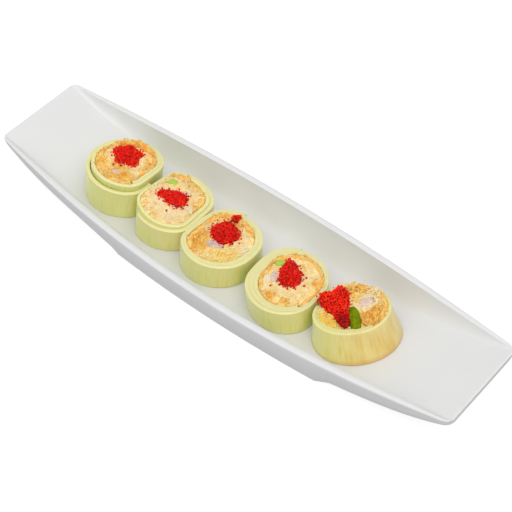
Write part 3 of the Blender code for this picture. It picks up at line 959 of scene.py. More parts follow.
@dataclass(frozen=True)
class Roll:
    """One roll: its place, lean and outline, its cucumber peel and what fills it."""

    number: int
    x: float
    y: float
    lean: float
    foot_radius: float
    top_radius: float
    height: float
    core_height: float
    free_end: float
    winding: int
    turns: float
    pitch: float
    pitch_swing: float
    pitch_turn: float
    contacts: tuple[Contact, ...]
    shrimp: Blob
    roe: Blob
    roe_dome: float
    salmon_span: tuple[int, int]
    salmon_width: float
    salmon_lift: float = 0.5
    salmon_push: float = 0.0
    salmon_push_turn: float = 90.0
    waves: tuple = ()
    core_tilt: float = 0.0
    core_tilt_turn: float = 0.0
    slack: float = 0.0
    slack_turn: float = -100.0
    flare: float = 0.0
    filling_slope: float = 0.0
    filling_slope_turn: float = 0.0
    filling_drop: float = 0.8
    avocado: Blob | None = None
    clump: Blob | None = None
    strays: tuple = ()
    ripeness: float = 0.3
    # Strength of the painted shade in the gaps between the turns of peel.
    crevice_shade: float = 0.4
    avocado_tint: float = 1.0
    warm_spots: tuple = ()
    yellow_spots: tuple = ()
    # Spots of painted shade that darken the roe, each (across, away, radius, strength) in millimetres.
    painted_shade_spots: tuple = ()
    lip_tone: float = 1.0
    foot_tint: float = 0.0
    roe_tint: float = 0.48
    shrimp_tint: float = 0.6
    spill: float = 0.0
    bits: int = 420
    eggs: int = 420
    clump_dome: float = 1.8
    clump_eggs: int = 46
    sheet_gap: float = 0.04 * MM
    free_rounding: float = 0.75 * MM
    inner_rounding: float = 0.5 * MM
    held_rounding: float = 0.07 * MM
    layer_drop: float = 0.06 * MM
    lip_wave: float = 0.25 * MM
    lip_band: float = 3.2 * MM
    lip_fade: float = 3.1 * MM
    shade_band: float = 5 * MM
    shade_fade: float = 4 * MM
    foot_band: float = 2.4 * MM
    ragged_height: float = 0.16 * MM
    ragged_size: float = 2.6 * MM
    ragged_run: float = 18 * MM
    filling_gap: float = 0.15 * MM
    contact_reach: float = 0.2
    softness: float = 13.0
    round_steps: int = 30
    turn_steps: int = 112

    def stand(self, across: float, away: float, up: float) -> Vector:
        """World point of a place given across the roll, away from the viewer and up its axis.

        Args:
            across: Place across, from the axis.
            away: Place away from the viewer, from the axis.
            up: Height up the axis.

        Returns:
            The world point.
        """
        lean = radians(self.lean)
        x = self.x * MM + across * cos(lean) + up * sin(lean)
        base = DISH.floor(self.x * MM) + TOUCH_GAP
        return Vector((x, self.y * MM + away, base - across * sin(lean) + up * cos(lean)))

    def rest(self, across: float, away: float) -> Vector:
        """World point on the roll's underside, which follows the dish's floor."""
        x = self.x * MM + across * cos(radians(self.lean))
        return Vector((x, self.y * MM + away, DISH.floor(x) + TOUCH_GAP))

    def upright(self, flat: Flat, up: float) -> Vector:
        """World point up the roll's axis, or on the underside where it has no height."""
        return self.stand(*flat, up) if up > 0 else self.rest(*flat)

    def outline(self, angle: float, share: float) -> float:
        """Outer radius at an angle, at a share of the way up the wall.

        Args:
            angle: Angle about the axis.
            share: Share of the way up.

        Returns:
            The radius.
        """
        radius = (self.foot_radius + (self.top_radius - self.foot_radius) * share) * MM
        radius += self.flare * MM * max(1 - share, 0.0) ** 3
        for count, depth, turn in self.waves:
            radius *= 1 + depth * facing(angle, turn, count)
        tightness = radius ** -self.softness
        for contact in self.contacts:
            near = facing(angle, contact.turn)
            if near > self.contact_reach:
                flat = (contact.foot + (contact.top - contact.foot) * share) * MM / near
                tightness += flat ** -self.softness
        return tightness ** (-1 / self.softness)

    def pressed(self, angle: float) -> float:
        """How close to a neighbour the wall runs at an angle, from 0 to 1."""
        return max(smooth((facing(angle, contact.turn) - 0.78) / 0.2) for contact in self.contacts)

    def layer_pitch(self, angle: float) -> float:
        """Radial distance from one turn of peel to the next at an angle."""
        return self.pitch * MM * (1 + self.pitch_swing * facing(angle, self.pitch_turn))

    def slack_at(self, angle: float, turned: float) -> float:
        """How far the turns inside the outermost one stand off from it."""
        inside = smooth((turned - 0.75 * TAU) / (0.5 * TAU))
        return self.slack * MM * inside * max(0.0, facing(angle, self.slack_turn))

    def peel_angle(self, turned: float) -> float:
        """Angle about the axis after the peel has turned inwards from its free end."""
        return radians(self.free_end) + self.winding * turned

    def peel_radius(self, turned: float, share: float) -> float:
        """Outer radius of the peel after it has turned inwards from its free end.

        Args:
            turned: How far the peel has turned inwards.
            share: Share of the way up.

        Returns:
            The radius.
        """
        angle = self.peel_angle(turned)
        stands_off = self.slack_at(angle, turned) * smooth((share - 0.86) / 0.12)
        return self.outline(angle, share) - self.layer_pitch(angle) * turned / TAU - stands_off

    def peel_top(self, turned: float) -> float:
        """Height of the peel's lip up the roll's axis.

        Args:
            turned: How far the peel has turned inwards.

        Returns:
            The height.
        """
        angle = self.peel_angle(turned)
        core = smooth((turned / TAU - 0.15) / 0.9)
        height = self.height + (self.core_height - self.height) * core
        height += self.core_tilt * core * facing(angle, self.core_tilt_turn)
        return height * MM + self.lip_wave * sin(3 * angle + self.number)

    def filling_radius(self, angle: float, share: float) -> float:
        """Radius left for the filling inside the innermost turn.

        Args:
            angle: Angle about the axis.
            share: Share of the way up.

        Returns:
            The radius.
        """
        total = self.turns * TAU
        past = (self.winding * (angle - self.peel_angle(total))) % TAU
        turned = total + past if past < 0.2 * TAU / self.round_steps else total - (TAU - past)
        inset = self.layer_pitch(angle) * (turned / TAU + 1) + self.slack_at(angle, turned)
        return self.outline(angle, share) - inset - self.filling_gap

    def filling_top(self, across: float, away: float) -> float:
        """Height of the filling's smooth top up the roll's axis.

        Args:
            across: Place across, from the axis.
            away: Place away from the viewer, from the axis.

        Returns:
            The height.
        """
        slope = self.filling_slope * reach_along(across, away, self.filling_slope_turn)
        tilt = self.core_tilt * reach_along(across, away, self.core_tilt_turn) / self.top_radius
        return (self.core_height - self.filling_drop) * MM + slope + tilt

    @property
    def salmon_closed(self) -> bool:
        """Whether the salmon runs all the way round."""
        return self.salmon_span[1] - self.salmon_span[0] >= self.round_steps - 1

    def salmon_depth(self, angle: float) -> float:
        """Radial width of the salmon at an angle, none where it has none.

        Args:
            angle: Angle about the axis.

        Returns:
            The width.
        """
        first, last = self.salmon_span
        index = (angle % TAU) / TAU * self.round_steps
        if index > last and index - self.round_steps >= first - 1:
            index -= self.round_steps
        if not self.salmon_closed and not first <= index <= last:
            return 0.0
        swell = 1 + 0.35 * sin(1.9 * index + self.number) + 0.2 * sin(0.8 * index)
        ends = 1.0 if self.salmon_closed else min(1.0, 0.45 + 0.3 * min(index - first, last - index))
        return self.salmon_width * MM * swell * ends

    def salmon_rise(self, angle: float) -> float:
        """How far the salmon's top stands above the filling's."""
        pushed = smooth(2 * facing(angle, self.salmon_push_turn) - 1)
        return (self.salmon_lift + self.salmon_push * pushed) * MM

    def build(self, finishes: Finishes, models: Models) -> None:
        """Make all pieces of the roll, each in place of its solid.

        Args:
            finishes: The object's materials.
            models: The small things to copy.
        """
        self.make_cucumber(finishes)
        self.make_salmon(finishes, models)
        self.make_crab(finishes, models)
        self.make_lump(finishes.shrimp, Kind.SHRIMP, self.shrimp, "shrimp", self.shrimp_tint)
        if self.avocado is not None:
            self.make_lump(finishes.avocado, Kind.AVOCADO, self.avocado, "avocado", self.avocado_tint)
        self.make_roe(finishes, models, self.roe, "roe", self.roe_dome, self.eggs)
        if self.clump is not None:
            self.make_roe(finishes, models, self.clump, "roe_clump", self.clump_dome, self.clump_eggs)

    def settle(self, piece: Object, finish: Finish, kind: Kind, node: str) -> None:
        """Dress a piece and let it stand for its solid.

        Args:
            piece: The object.
            finish: Its material.
            kind: What kind of piece it is.
            node: The solid it stands for, without the roll's number.
        """
        finish.dress(piece, kind.value)
        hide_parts(f"roll_{self.number}_{node}")
        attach(piece, BODY)
        log.info("roll %d %s made", self.number, node)

    def make_cucumber(self, finishes: Finishes) -> None:
        """The wound sheet with its soft cut lip.

        Args:
            finishes: The object's materials.
        """
        length = 0.0
        rows = []
        for step in range(round(self.turns * self.turn_steps) + 1):
            turned = step * TAU / self.turn_steps
            angle = self.peel_angle(turned)
            thickness = self.layer_pitch(angle) - self.sheet_gap
            ragged = crumble((self.ragged_run * turned, 0.0, self.number * MM), self.ragged_size)
            lip = self.peel_top(turned) + self.ragged_height * ragged
            length += self.outline(angle, 1.0) * TAU / self.turn_steps
            layer = 1 + 0.25 * crumble((length, 0.0, 0.0), 7 * MM)
            row = []
            for across, up in self.peel_section(lip, thickness, turned):
                radius = self.peel_radius(turned, up / (self.height * MM)) - across * thickness
                place = self.upright(polar(radius, angle), up)
                tones = self.peel_tones(turned, across, up, lip)
                row.append((*place, length, up, across * layer, *tones))
            rows.append(row)
        grid = np.array(rows)
        # The mark inner carries the painted shade of the gaps and creases.
        labels = ("across", "lip", "inner", "ripeness", "foot")
        marks = {label: grid[:, :, 5 + index] for index, label in enumerate(labels)}
        piece = skin(f"cucumber_{self.number}", grid[:, :, :3], grid[:, :, 3:5], marks)
        self.settle(piece, finishes.cucumber, Kind.CUCUMBER, "cucumber")

    def peel_tones(self, turned: float, across: float, up: float, lip: float) -> tuple[float, ...]:
        """Marks for the cucumber's finish at a point of the sheet.

        Args:
            turned: How far the peel has turned inwards.
            across: Share of the sheet's thickness inwards.
            up: Height of the point.
            lip: Height of the lip above it.

        Returns:
            How far it takes the lip's pale colour, at the cut lip and more towards the wall's top, how
            strong its painted shade of gaps and creases is, riper flesh and browned foot.
        """
        angle = self.peel_angle(turned)
        pale = 0.5 * max(up / lip, 0.0) ** 1.5
        top = self.lip_tone * max(smooth((up - lip + self.lip_band) / self.lip_fade), pale)
        # Painted shade: the inner turns take a deeper green where they lie in the gaps.
        inner = self.crevice_shade * smooth((turned / TAU - 0.55) / 0.4)
        # Painted shade low on the wall where it presses against a neighbour.
        side = 0.75 * self.pressed(angle) * (1 - smooth((up - lip + self.shade_band) / self.shade_fade))
        crease_shade = max(inner if across < 0.5 else 0.6 * self.crevice_shade, side)
        ripe = self.ripeness * (1 + 0.8 * facing(angle, 40))
        foot = self.foot_tint * min(max(1 - up / self.foot_band, 0.0), 1.0)
        return top, crease_shade, ripe, foot

    def peel_section(self, lip: float, thickness: float, turned: float) -> list[Flat]:
        """Closed section of the sheet as (share of its thickness inwards, height).

        Args:
            lip: Height of the lip.
            thickness: The sheet's thickness there.
            turned: How far the peel has turned inwards.

        Returns:
            The points, from the outer side's bottom round the lip and back.
        """
        free = turned < TAU or self.peel_top(turned) - self.peel_top(turned - TAU) > 0.8 * MM
        outer = self.free_rounding if free else self.held_rounding
        innermost = turned > (self.turns - 1) * TAU
        inner = self.inner_rounding if innermost else self.held_rounding
        inside = lip - self.layer_drop
        turns = [TAU / 4 * step / 5 for step in range(6)]
        arc = [(1 - cos(turn), 1 - sin(turn)) for turn in turns]
        points = [(0.0, (lip - outer) * step / 9) for step in range(9)]
        points += [(outer / thickness * far, lip - outer * down) for far, down in arc]
        points += [(1 - inner / thickness * far, inside - inner * down) for down, far in arc]
        points += [(1.0, (inside - inner) * step / 6) for step in range(5, -1, -1)]
        return points + [(0.0, 0.0)]

    def crab_edge(self, angle: float, share: float) -> float:
        """Radius of the crab's edge: inside the peel, and inside the salmon where that runs."""
        return self.filling_radius(angle, share) - self.salmon_depth(angle)

    def surface(self, across: float, away: float) -> Vector:
        """World point on the filling's crumbly top."""
        return self.stand(across, away, self.crumbly_top(across, away))

    def crumbs(self, across: float, away: float) -> float:
        """Relief of the filling's top."""
        point = (across, away, self.number * 9 * MM)
        return MM * sum(height * crumble(point, size * MM) for height, size in RELIEF)

    def crumbly_top(self, across: float, away: float) -> float:
        """Height of the filling's top with its relief."""
        return self.filling_top(across, away) + self.crumbs(across, away)

    @staticmethod
    def spotted(spots: tuple, across: float, away: float) -> float:
        """Strength of soft spots, each (across, away, radius, strength) in millimetres.

        Args:
            spots: The spots.
            across: Place across, from the axis.
            away: Place away from the viewer, from the axis.

        Returns:
            The strength.
        """
        value = 0.0
        for middle, back, radius, strength in spots:
            far = hypot(across / MM - middle, away / MM - back) / radius
            value += strength * smooth(1.5 - far)
        return value

    def marks(self, places: list[list[Flat]], tint: float) -> dict[str, np.ndarray]:
        """Marks for the material at (across, away) places.

        Args:
            places: Rows of places.
            tint: One tint for all of them.

        Returns:
            Arrays of tint, warm and yellow.
        """
        flat = np.array(places)
        shape = flat.shape[:-1]
        marks = tinted(flat, tint)
        for label, spots in (("warm", self.warm_spots), ("yellow", self.yellow_spots)):
            values = [self.spotted(spots, *place) for place in flat.reshape(-1, 2)]
            marks[label] = np.array(values).reshape(shape)
        return marks

    def make_crab(self, finishes: Finishes, models: Models) -> None:
        """The crab filling: a crumbly core under loose shreds and crumbs.

        Args:
            finishes: The object's materials.
            models: The small things to copy.
        """
        columns = 110

        def flat(size: float, angle: float) -> Flat:
            """Place on the crab's top, seen from above."""
            return polar(self.crab_edge(angle, 1.0) * size, angle)

        def top(size: float, angle: float) -> Vector:
            """Place on the crumbly top, lower at its edge.

            Args:
                size: Share of the way out to the outline.
                angle: Angle about the axis.

            Returns:
                The world point.
            """
            across, away = flat(size, angle)
            up = self.crumbly_top(across, away)
            return self.stand(across, away, up - 0.3 * MM * smooth((size - 0.9) / 0.1))

        def wall(share: float, angle: float) -> Vector:
            """Place on the side, at a share of the way up."""
            return self.upright(polar(self.crab_edge(angle, share), angle), self.core_height * MM * share)

        rows = rows_of(rings_of(44), columns, top) + rows_of((0.5, 0.0), columns, wall)
        rows.append([self.rest(0.0, 0.0)] * (columns + 1))
        flats = rows_of(rings_of(44), columns, flat)
        flats += [flats[-1]] * 3
        piece = skin(f"crab_{self.number}", np.array(rows), marks=self.marks(flats, FLESH_TINT))
        draw = np.random.default_rng(100 + self.number)
        shreds = scatter(f"shreds_{self.number}", models.shred, self.loose_bits(draw, self.bits, True))
        crumbs = scatter(f"crumbs_{self.number}", models.crumb, self.loose_bits(draw, self.bits, False))
        parts = [piece, shreds, crumbs]
        if self.yellow_spots:
            parts.append(scatter(f"yellow_{self.number}", models.shred, self.yellow_shreds(draw)))
        whole = join(f"crab_{self.number}", parts)
        self.settle(whole, finishes.crab, Kind.CRAB, "crab")
        if self.strays:
            eggs = []
            for across, away in self.strays:
                place = self.surface(across * MM, away * MM) + Vector((0, 0, 0.5 * MM))
                eggs.append(Copy(place, Matrix.Identity(3), (STRAY_EGG_RADIUS * MM,) * 3, tint=0.3))
            stray = scatter(f"stray_roe_{self.number}", models.egg, eggs)
            finishes.roe.dress(stray, Kind.ROE.value)
            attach(stray, BODY)

    def loose_bits(self, draw: np.random.Generator, count: int, long: bool) -> list[Copy]:
        """Places of loose shreds or crumbs over the crab's top, clear of the other pieces.

        Args:
            draw: Seeded random draws.
            count: How many to try.
            long: Shreds when true, crumbs when false.

        Returns:
            The copies.
        """
        copies = []
        others = [piece for piece in (self.roe, self.shrimp, self.avocado) if piece is not None]
        for _ in range(count):
            angle = draw.uniform(0, TAU)
            size = sqrt(draw.uniform(0.0, 1.0)) * 0.94
            spill = self.spill * MM * smooth((size - 0.6) / 0.34)
            across, away = polar(self.crab_edge(angle, 1.0) * size + spill, angle)
            if any(piece.reach(across, away) < BIT_CLEARANCE for piece in others):
                continue
            tilt = tilted(draw, 0.18)
            turn = turned_to(tilt, draw.uniform(0, TAU))
            place = self.surface(across, away) + Vector((0, 0, spill))
            warm = self.spotted(self.warm_spots, across, away) + draw.normal(0.06, 0.3)
            yellow = self.spotted(self.yellow_spots, across, away)
            if long:
                length = draw.uniform(*SHRED_LONG) * MM * (1 + 0.7 * smooth(yellow))
                room = (1 - size) * self.crab_edge(angle, 1.0) + 1.2 * MM
                wide = draw.uniform(*SHRED_WIDE) * MM
                bits = (min(length, 2 * room), wide, 0.6 * wide)
                bend = draw.normal(0, 0.35)
            else:
                wide = draw.uniform(*CRUMB_WIDE) * MM * (1 + 0.7 * smooth(warm))
                bits = (wide, wide * draw.uniform(0.6, 1.0), wide * draw.uniform(0.5, 0.8))
                bend = 0.0
            copies.append(Copy(place, turn, bits, bend, draw.uniform(0, 1), warm, yellow))
        return copies

    def yellow_shreds(self, draw: np.random.Generator) -> list[Copy]:
        """Longer shreds that lie crosswise where the crab is at its yellowest.

        Args:
            draw: Seeded random draws.

        Returns:
            The copies.
        """
        copies = []
        for middle, back, radius, strength in self.yellow_spots:
            for _ in range(round(YELLOW_SHREDS * radius ** 2 * strength)):
                angle, far = draw.uniform(0, TAU), radius * sqrt(draw.uniform(0, 1))
                across, away = (middle + far * cos(angle)) * MM, (back + far * sin(angle)) * MM
                room = self.filling_radius(atan2(away, across), 1.0) + 0.6 * self.spill * MM
                if hypot(across, away) > room or self.roe.reach(across, away) < YELLOW_FROM_ROE:
                    continue
                if self.shrimp.reach(across, away) < YELLOW_FROM_SHRIMP:
                    continue
                place = self.surface(across, away) + Vector((0, 0, draw.uniform(0.1, 1.0) * MM))
                tilt = tilted(draw, 0.3)
                wide = draw.uniform(*YELLOW_SHRED_WIDE) * MM
                bits = (draw.uniform(*YELLOW_SHRED_LONG) * MM, wide, 0.7 * wide)
                tone = draw.uniform(0.2, 0.9) * strength
                turn = turned_to(tilt, draw.uniform(0, TAU))
                copies.append(Copy(place, turn, bits, draw.normal(0, 0.4), draw.uniform(0, 1), 0.0, tone))
        return copies

    def make_salmon(self, finishes: Finishes, models: Models) -> None:
        """The salmon: an uneven crumbly ring inside the peel, with flakes on top.

        Args:
            finishes: The object's materials.
            models: The small things to copy.
        """
        first, last = self.salmon_span
        span = TAU if self.salmon_closed else (last - first) * TAU / self.round_steps
        begin = first * TAU / self.round_steps
        steps = max(round(span / TAU * 130), 12)
        rows, flakes = [], []
        draw = np.random.default_rng(300 + self.number)
        for step in range(steps + 1):
            angle = begin + span * step / steps
            inside = min(max(angle, begin + 1e-6), begin + span - 1e-6)
            depth = max(self.salmon_depth(inside), 0.3 * MM)
            row = []
            for inward, raised in SALMON_SECTION:
                if raised is None:
                    row.append(self.rest(*polar(self.filling_radius(angle, 0.0) - inward * depth, angle)))
                    continue
                across, away = polar(self.filling_radius(angle, 1.0) - inward * depth, angle)
                up = self.crumbly_top(across, away) + raised * MM
                up += self.salmon_rise(angle) * (1 - inward ** 1.5)
                radius = self.filling_radius(angle, up / (self.height * MM)) - inward * depth
                row.append(self.stand(*polar(radius, angle), up))
            rows.append(row)
        for _ in range(round(FLAKES * span / TAU)):
            angle = begin + span * draw.uniform(0.02, 0.98)
            depth = self.salmon_depth(angle)
            inward = draw.uniform(-0.15, 1.0)
            across, away = polar(self.filling_radius(angle, 1.0) - depth * inward, angle)
            up = self.crumbly_top(across, away)
            up += self.salmon_rise(angle) * (1 - max(inward, 0.0) ** 1.5) + (0.3 + max(-inward, 0.0)) * MM
            wide = draw.uniform(*FLAKE_WIDE) * MM
            tilt = tilted(draw, 0.25)
            bits = (wide, wide * draw.uniform(0.6, 0.9), wide * draw.uniform(0.4, 0.7))
            turn = turned_to(tilt, draw.uniform(0, TAU))
            flakes.append(Copy(self.stand(across, away, up), turn, bits, 0.0, draw.uniform(0, 1)))
        points = np.array(rows)
        ring = skin(f"salmon_{self.number}", points, marks=tinted(points, FLESH_TINT))
        loose = scatter(f"flakes_{self.number}", models.crumb, flakes)
        self.settle(join(f"salmon_{self.number}", [ring, loose]), finishes.salmon, Kind.SALMON, "salmon")

    def make_lump(self, finish: Finish, kind: Kind, blob: Blob, node: str, tint: float) -> None:
        """An upright lump or stick that shows its rounded end in the filling's top.

        Args:
            finish: Its material.
            kind: What kind of piece it is.
            blob: The outline seen from above.
            node: The solid it stands for, without the roll's number.
            tint: One tint for all of it.
        """
        columns = 40

        def top(size: float, angle: float) -> Vector:
            """Place on the rounded end.

            Args:
                size: Share of the way out to the outline.
                angle: Angle about the axis.

            Returns:
                The world point.
            """
            across, away = blob.outline(angle, size)
            up = self.filling_top(across, away) + blob.lift * MM + 0.35 * self.crumbs(across, away)
            up += 0.5 * MM * (1 - size ** 2) - 0.9 * MM * smooth((size - 0.75) / 0.25)
            return self.stand(across, away, up)

        def bottom(size: float, angle: float) -> Vector:
            """Place on the underside."""
            return self.rest(*blob.outline(angle, size))

        points = np.array(rows_of(rings_of(10), columns, top) + rows_of((1.0, 0.0), columns, bottom))
        piece = skin(f"{node}_{self.number}", points, marks=tinted(points, tint))
        self.settle(piece, finish, kind, node)

    def heap_height(self, blob: Blob, dome: float, across: float, away: float) -> float:
        """Height of a heap of roe up the roll's axis.

        Args:
            blob: The outline seen from above.
            dome: Height of the heap in millimetres.
            across: Place across, from the axis.
            away: Place away from the viewer, from the axis.

        Returns:
            The height.
        """
        size = min(blob.reach(across, away), 1.0)
        up = self.filling_top(across, away) + blob.lift * MM
        return up + dome * MM * sqrt(max(1 - (0.97 * size) ** 2, 0.0)) - 0.4 * MM

    def make_roe(self, finishes: Finishes, models: Models, blob: Blob, node: str, dome: float,
                 count: int) -> None:
        """A heap of roe: a bumpy dark core, painted shade between the eggs, closely covered with single
        eggs, ragged at its edge.

        Args:
            finishes: The object's materials.
            models: The small things to copy.
            blob: The heap's outline.
            node: The solid it stands for.
            dome: Height of the heap in millimetres.
            count: How many eggs to aim for.
        """
        columns = 60

        def top(size: float, angle: float) -> Vector:
            """Place on the core's bumpy dome.

            Args:
                size: Share of the way out to the outline.
                angle: Angle about the axis.

            Returns:
                The world point.
            """
            across, away = blob.outline(angle, size)
            bump = 0.4 * MM * crumble((across, away, 0.0), 1.1 * MM)
            height = self.heap_height(blob, dome, across, away)
            return self.stand(across, away, height - CORE_COVER + bump)

        def bottom(size: float, angle: float) -> Vector:
            """Place on the core's underside, sunk in the filling."""
            across, away = blob.outline(angle, size)
            return self.stand(across, away, self.filling_top(across, away) - CORE_DEPTH)

        upper = rows_of(rings_of(16, CORE_SHARE), columns, top)
        points = np.array(upper + rows_of((CORE_SHARE, 0.0), columns, bottom))
        # Painted shade: the core takes nearly the darkest red.
        core = skin(f"{node}_{self.number}", points, marks=tinted(points, CORE_SHADE_TINT))
        draw = np.random.default_rng(500 + self.number + len(node))
        eggs = []
        for number in range(count):
            angle = number * GOLDEN_TURN
            size = sqrt((number + 0.5) / count) * EGG_REACH
            across, away = blob.outline(angle, size)
            stray = 0.25 + 0.85 * smooth((size - 0.8) / 0.25)
            across += draw.normal(0, stray) * MM
            away += draw.normal(0, stray) * MM
            if blob.reach(across, away) > 1.0:
                up = self.crumbly_top(across, away) + 0.45 * MM
            else:
                up = self.heap_height(blob, dome, across, away) + draw.uniform(*EGG_HEIGHT) * MM
            wide = draw.uniform(*EGG_RADIUS) * MM
            # Painted shade: eggs in a shaded spot are darker.
            tint = draw.normal(self.roe_tint, TINT_SPREAD) - self.spotted(self.painted_shade_spots, across, away)
            egg = (wide, wide, wide * EGG_FLATNESS)
            tint = min(max(tint, 0.0), 1.0)
            eggs.append(Copy(self.stand(across, away, up), Matrix.Identity(3), egg, tint=tint))
        loose = scatter(f"eggs_{node}_{self.number}", models.egg, eggs)
        self.settle(join(f"{node}_{self.number}", [core, loose]), finishes.roe, Kind.ROE, node)


@dataclass
class Models:
    """The small things, each modelled once and about one unit across."""

    egg: Model = field(init=False)
    crumb: Model = field(init=False)
    shred: Model = field(init=False)

    def __post_init__(self) -> None:
        """Model each small thing."""
        self.egg = self.ball(0.0)
        self.crumb = self.ball(0.35)
        self.shred = self.strand()

    @staticmethod
    def ball(rough: float) -> Model:
        """Ball of radius one, or of half a unit with rough dents where it is a crumb.

        Args:
            rough: Depth of the dents, 0 for a smooth ball.

        Returns:
            The model.
        """
        deselect_all()
        bpy.ops.mesh.primitive_uv_sphere_add(segments=8, ring_count=5, radius=1.0)
        model = Model.of(bpy.context.active_object)
        if rough:
            for index, point in enumerate(model.points):
                dent = 0.5 * (1 + rough * crumble(tuple(point * 1.3 + 4.0), 1.0) * 2)
                model.points[index] = point * dent
        return model

    @staticmethod
    def strand() -> Model:
        """Strand one unit long and wide, thinner at its ends, along X.

        Returns:
            The model.
        """
        deselect_all()
        bpy.ops.mesh.primitive_cylinder_add(vertices=6, radius=0.5, depth=1.0, end_fill_type="NGON")
        piece = bpy.context.active_object
        bpy.ops.object.mode_set(mode="EDIT")
        bpy.ops.mesh.select_all(action="SELECT")
        for cut in (-0.42, -0.2, 0.0, 0.2, 0.42):
            bpy.ops.mesh.bisect(plane_co=(0, 0, cut), plane_no=(0, 0, 1))
            bpy.ops.mesh.select_all(action="SELECT")
        bpy.ops.object.mode_set(mode="OBJECT")
        model = Model.of(piece)
        along = model.points[:, 2].copy()
        thin = np.where(np.abs(along) > 0.45, 0.45, 1.0)
        model.points = np.stack([along, model.points[:, 0] * thin, model.points[:, 1] * thin], axis=1)
        return model


ROLLS = (
    Roll(
        number=1, x=-97.5, y=-4.4, lean=8.5,
        foot_radius=24.6, top_radius=24.6, height=24.6, core_height=29.6,
        free_end=2, winding=-1, turns=2.1, pitch=2.5, pitch_swing=0.1, pitch_turn=180,
        contacts=(Contact(0, 22.0, 22.0),), waves=((2, 0.08, 40),),
        slack=0.7, slack_turn=-110,
        shrimp=Blob(0.4, -9.8, 3.4, 2.0, 20),
        roe=Blob(-3.0, 4.6, 8.9, 8.2, 20, 5, 0.17, 30),
        roe_dome=3.2, salmon_span=(0, 29), salmon_width=2.3, salmon_lift=0.6,
        salmon_push=4.6, salmon_push_turn=112,
        strays=((-4.4, -7.2),), ripeness=0.2, crevice_shade=1.0,
        warm_spots=((0, -12, 10, 0.7), (-14.1, -9.6, 5, 0.8), (13.6, 8.2, 4.5, 0.8),
                    (8.6, -10.2, 5, 0.5), (-13.3, 4.1, 2.5, -0.9)),
    ),
    Roll(
        number=2, x=-56.8, y=-2.1, lean=7.3,
        foot_radius=25.4, top_radius=25.4, height=21.0, core_height=24.5,
        free_end=-116, winding=1, turns=1.6, pitch=2.5, pitch_swing=0.15, pitch_turn=40,
        contacts=(Contact(175, 20.2, 20.0), Contact(0, 22.1, 21.6)), waves=((2, 0.045, 40),),
        core_tilt=2.0, core_tilt_turn=180,
        shrimp=Blob(1.5, 8.3, 3.0, 2.4, 20),
        roe=Blob(-1.2, -0.1, 9.6, 5.6, 20, 3, 0.15, 60),
        roe_dome=3.0, salmon_span=(0, 12), salmon_width=3.2,
        avocado=Blob(-10.0, 9.0, 3.6, 2.3, 40, lift=0.5),
        strays=((2.0, -10.5),), ripeness=0.45, crevice_shade=0.12, eggs=330, spill=0.7,
        warm_spots=((0, -4, 14, -0.35),),
    ),
    Roll(
        number=3, x=-13.2, y=-5.0, lean=4.0,
        foot_radius=26.4, top_radius=26.0, height=20.3, core_height=20.3,
        free_end=95, winding=1, turns=2.0, pitch=2.2, pitch_swing=0.25, pitch_turn=-10,
        contacts=(Contact(175, 22.9, 22.0), Contact(0, 27.6, 26.6)), waves=((2, 0.045, 40),),
        shrimp=Blob(-1.4, -6.4, 6.4, 3.4, 26, lift=0.6),
        roe=Blob(-2.0, 4.4, 9.2, 8.9, 0, 4, 0.08, 20),
        roe_dome=4.0, salmon_span=(4, 20), salmon_width=3.6,
        salmon_push=1.6, salmon_push_turn=85,
        clump=Blob(-3.8, 17.4, 3.4, 2.3, 60, lift=1.9), ripeness=0.4, crevice_shade=0.2,
        roe_tint=0.4, shrimp_tint=0.2, spill=0.5,
        warm_spots=((-10.5, -11.0, 8, 1.0), (14.9, 3.8, 6, -0.3), (-0.9, 17.8, 5, 0.8)),
        yellow_spots=((4.0, -12.0, 6, 0.5), (11.0, -8.0, 7, 0.6)),
    ),
    Roll(
        number=4, x=40.5, y=-4.6, lean=-4.8,
        foot_radius=27.6, top_radius=27.8, height=17.6, core_height=18.0,
        free_end=110, winding=1, turns=2.6, pitch=2.1, pitch_swing=0.3, pitch_turn=215,
        contacts=(Contact(180, 26.6, 25.8), Contact(0, 26.2, 26.8)), waves=((2, 0.035, 130),),
        shrimp=Blob(-8.8, -1.8, 5.4, 2.6, 125, lift=0.3),
        roe=Blob(-1.3, 4.6, 11.2, 7.0, 130, 3, 0.1, 0),
        roe_dome=3.4, salmon_span=(0, 29), salmon_width=2.2,
        avocado=Blob(-12.4, 9.2, 3.9, 2.3, 42, lift=1.0),
        strays=((11.2, 2.6), (8.4, 8.4), (-5.6, -9.2)), ripeness=0.35, crevice_shade=0.12, roe_tint=0.4,
        warm_spots=((-18.4, -1.6, 5, 1.0), (-1.1, -15.4, 3.6, 1.0), (9.4, -14.1, 3.2, 1.0),
                    (16.7, 8.3, 3.6, 1.0), (-14.8, 16.7, 5, 0.9), (-12.4, -3.9, 4, -0.7),
                    (6, 0, 9, -0.2)),
    ),
    Roll(
        number=5, x=91.6, y=-2.1, lean=-14.0,
        foot_radius=25.6, top_radius=23.2, height=21.0, core_height=21.0,
        free_end=-160, winding=1, turns=1.4, pitch=2.2, pitch_swing=0.1, pitch_turn=180,
        contacts=(Contact(180, 26.2, 22.8),), waves=((2, 0.05, 40),),
        flare=1.6,
        shrimp=Blob(4.6, 8.2, 5.0, 3.2, 60, lift=0.8),
        roe=Blob(-8.4, -3.4, 13.8, 8.0, -34, 3, 0.28, 0, lift=1.4),
        roe_dome=3.6, salmon_span=(-2, 10), salmon_width=3.2,
        filling_slope=0.22, filling_slope_turn=130, filling_drop=0.0,
        avocado=Blob(6.5, -6.2, 8.7, 4.2, -45, 2, 0.13, lift=1.9),
        ripeness=0.95, crevice_shade=0.2, avocado_tint=0.2, lip_tone=0.6, roe_tint=0.68, foot_tint=0.45,
        warm_spots=((14.5, 0.5, 8, 1.0), (-6.1, 16.7, 7, 0.9), (16.0, 9.0, 6, 0.6), (4.6, 9.0, 6, -0.5)),
        painted_shade_spots=((4.0, -12.5, 7, 0.6),), spill=1.5, bits=700,
        yellow_spots=((-6.5, -16.3, 9, 1.0), (-3.6, 7.8, 4, 0.8)),
    ),
)


# The studio


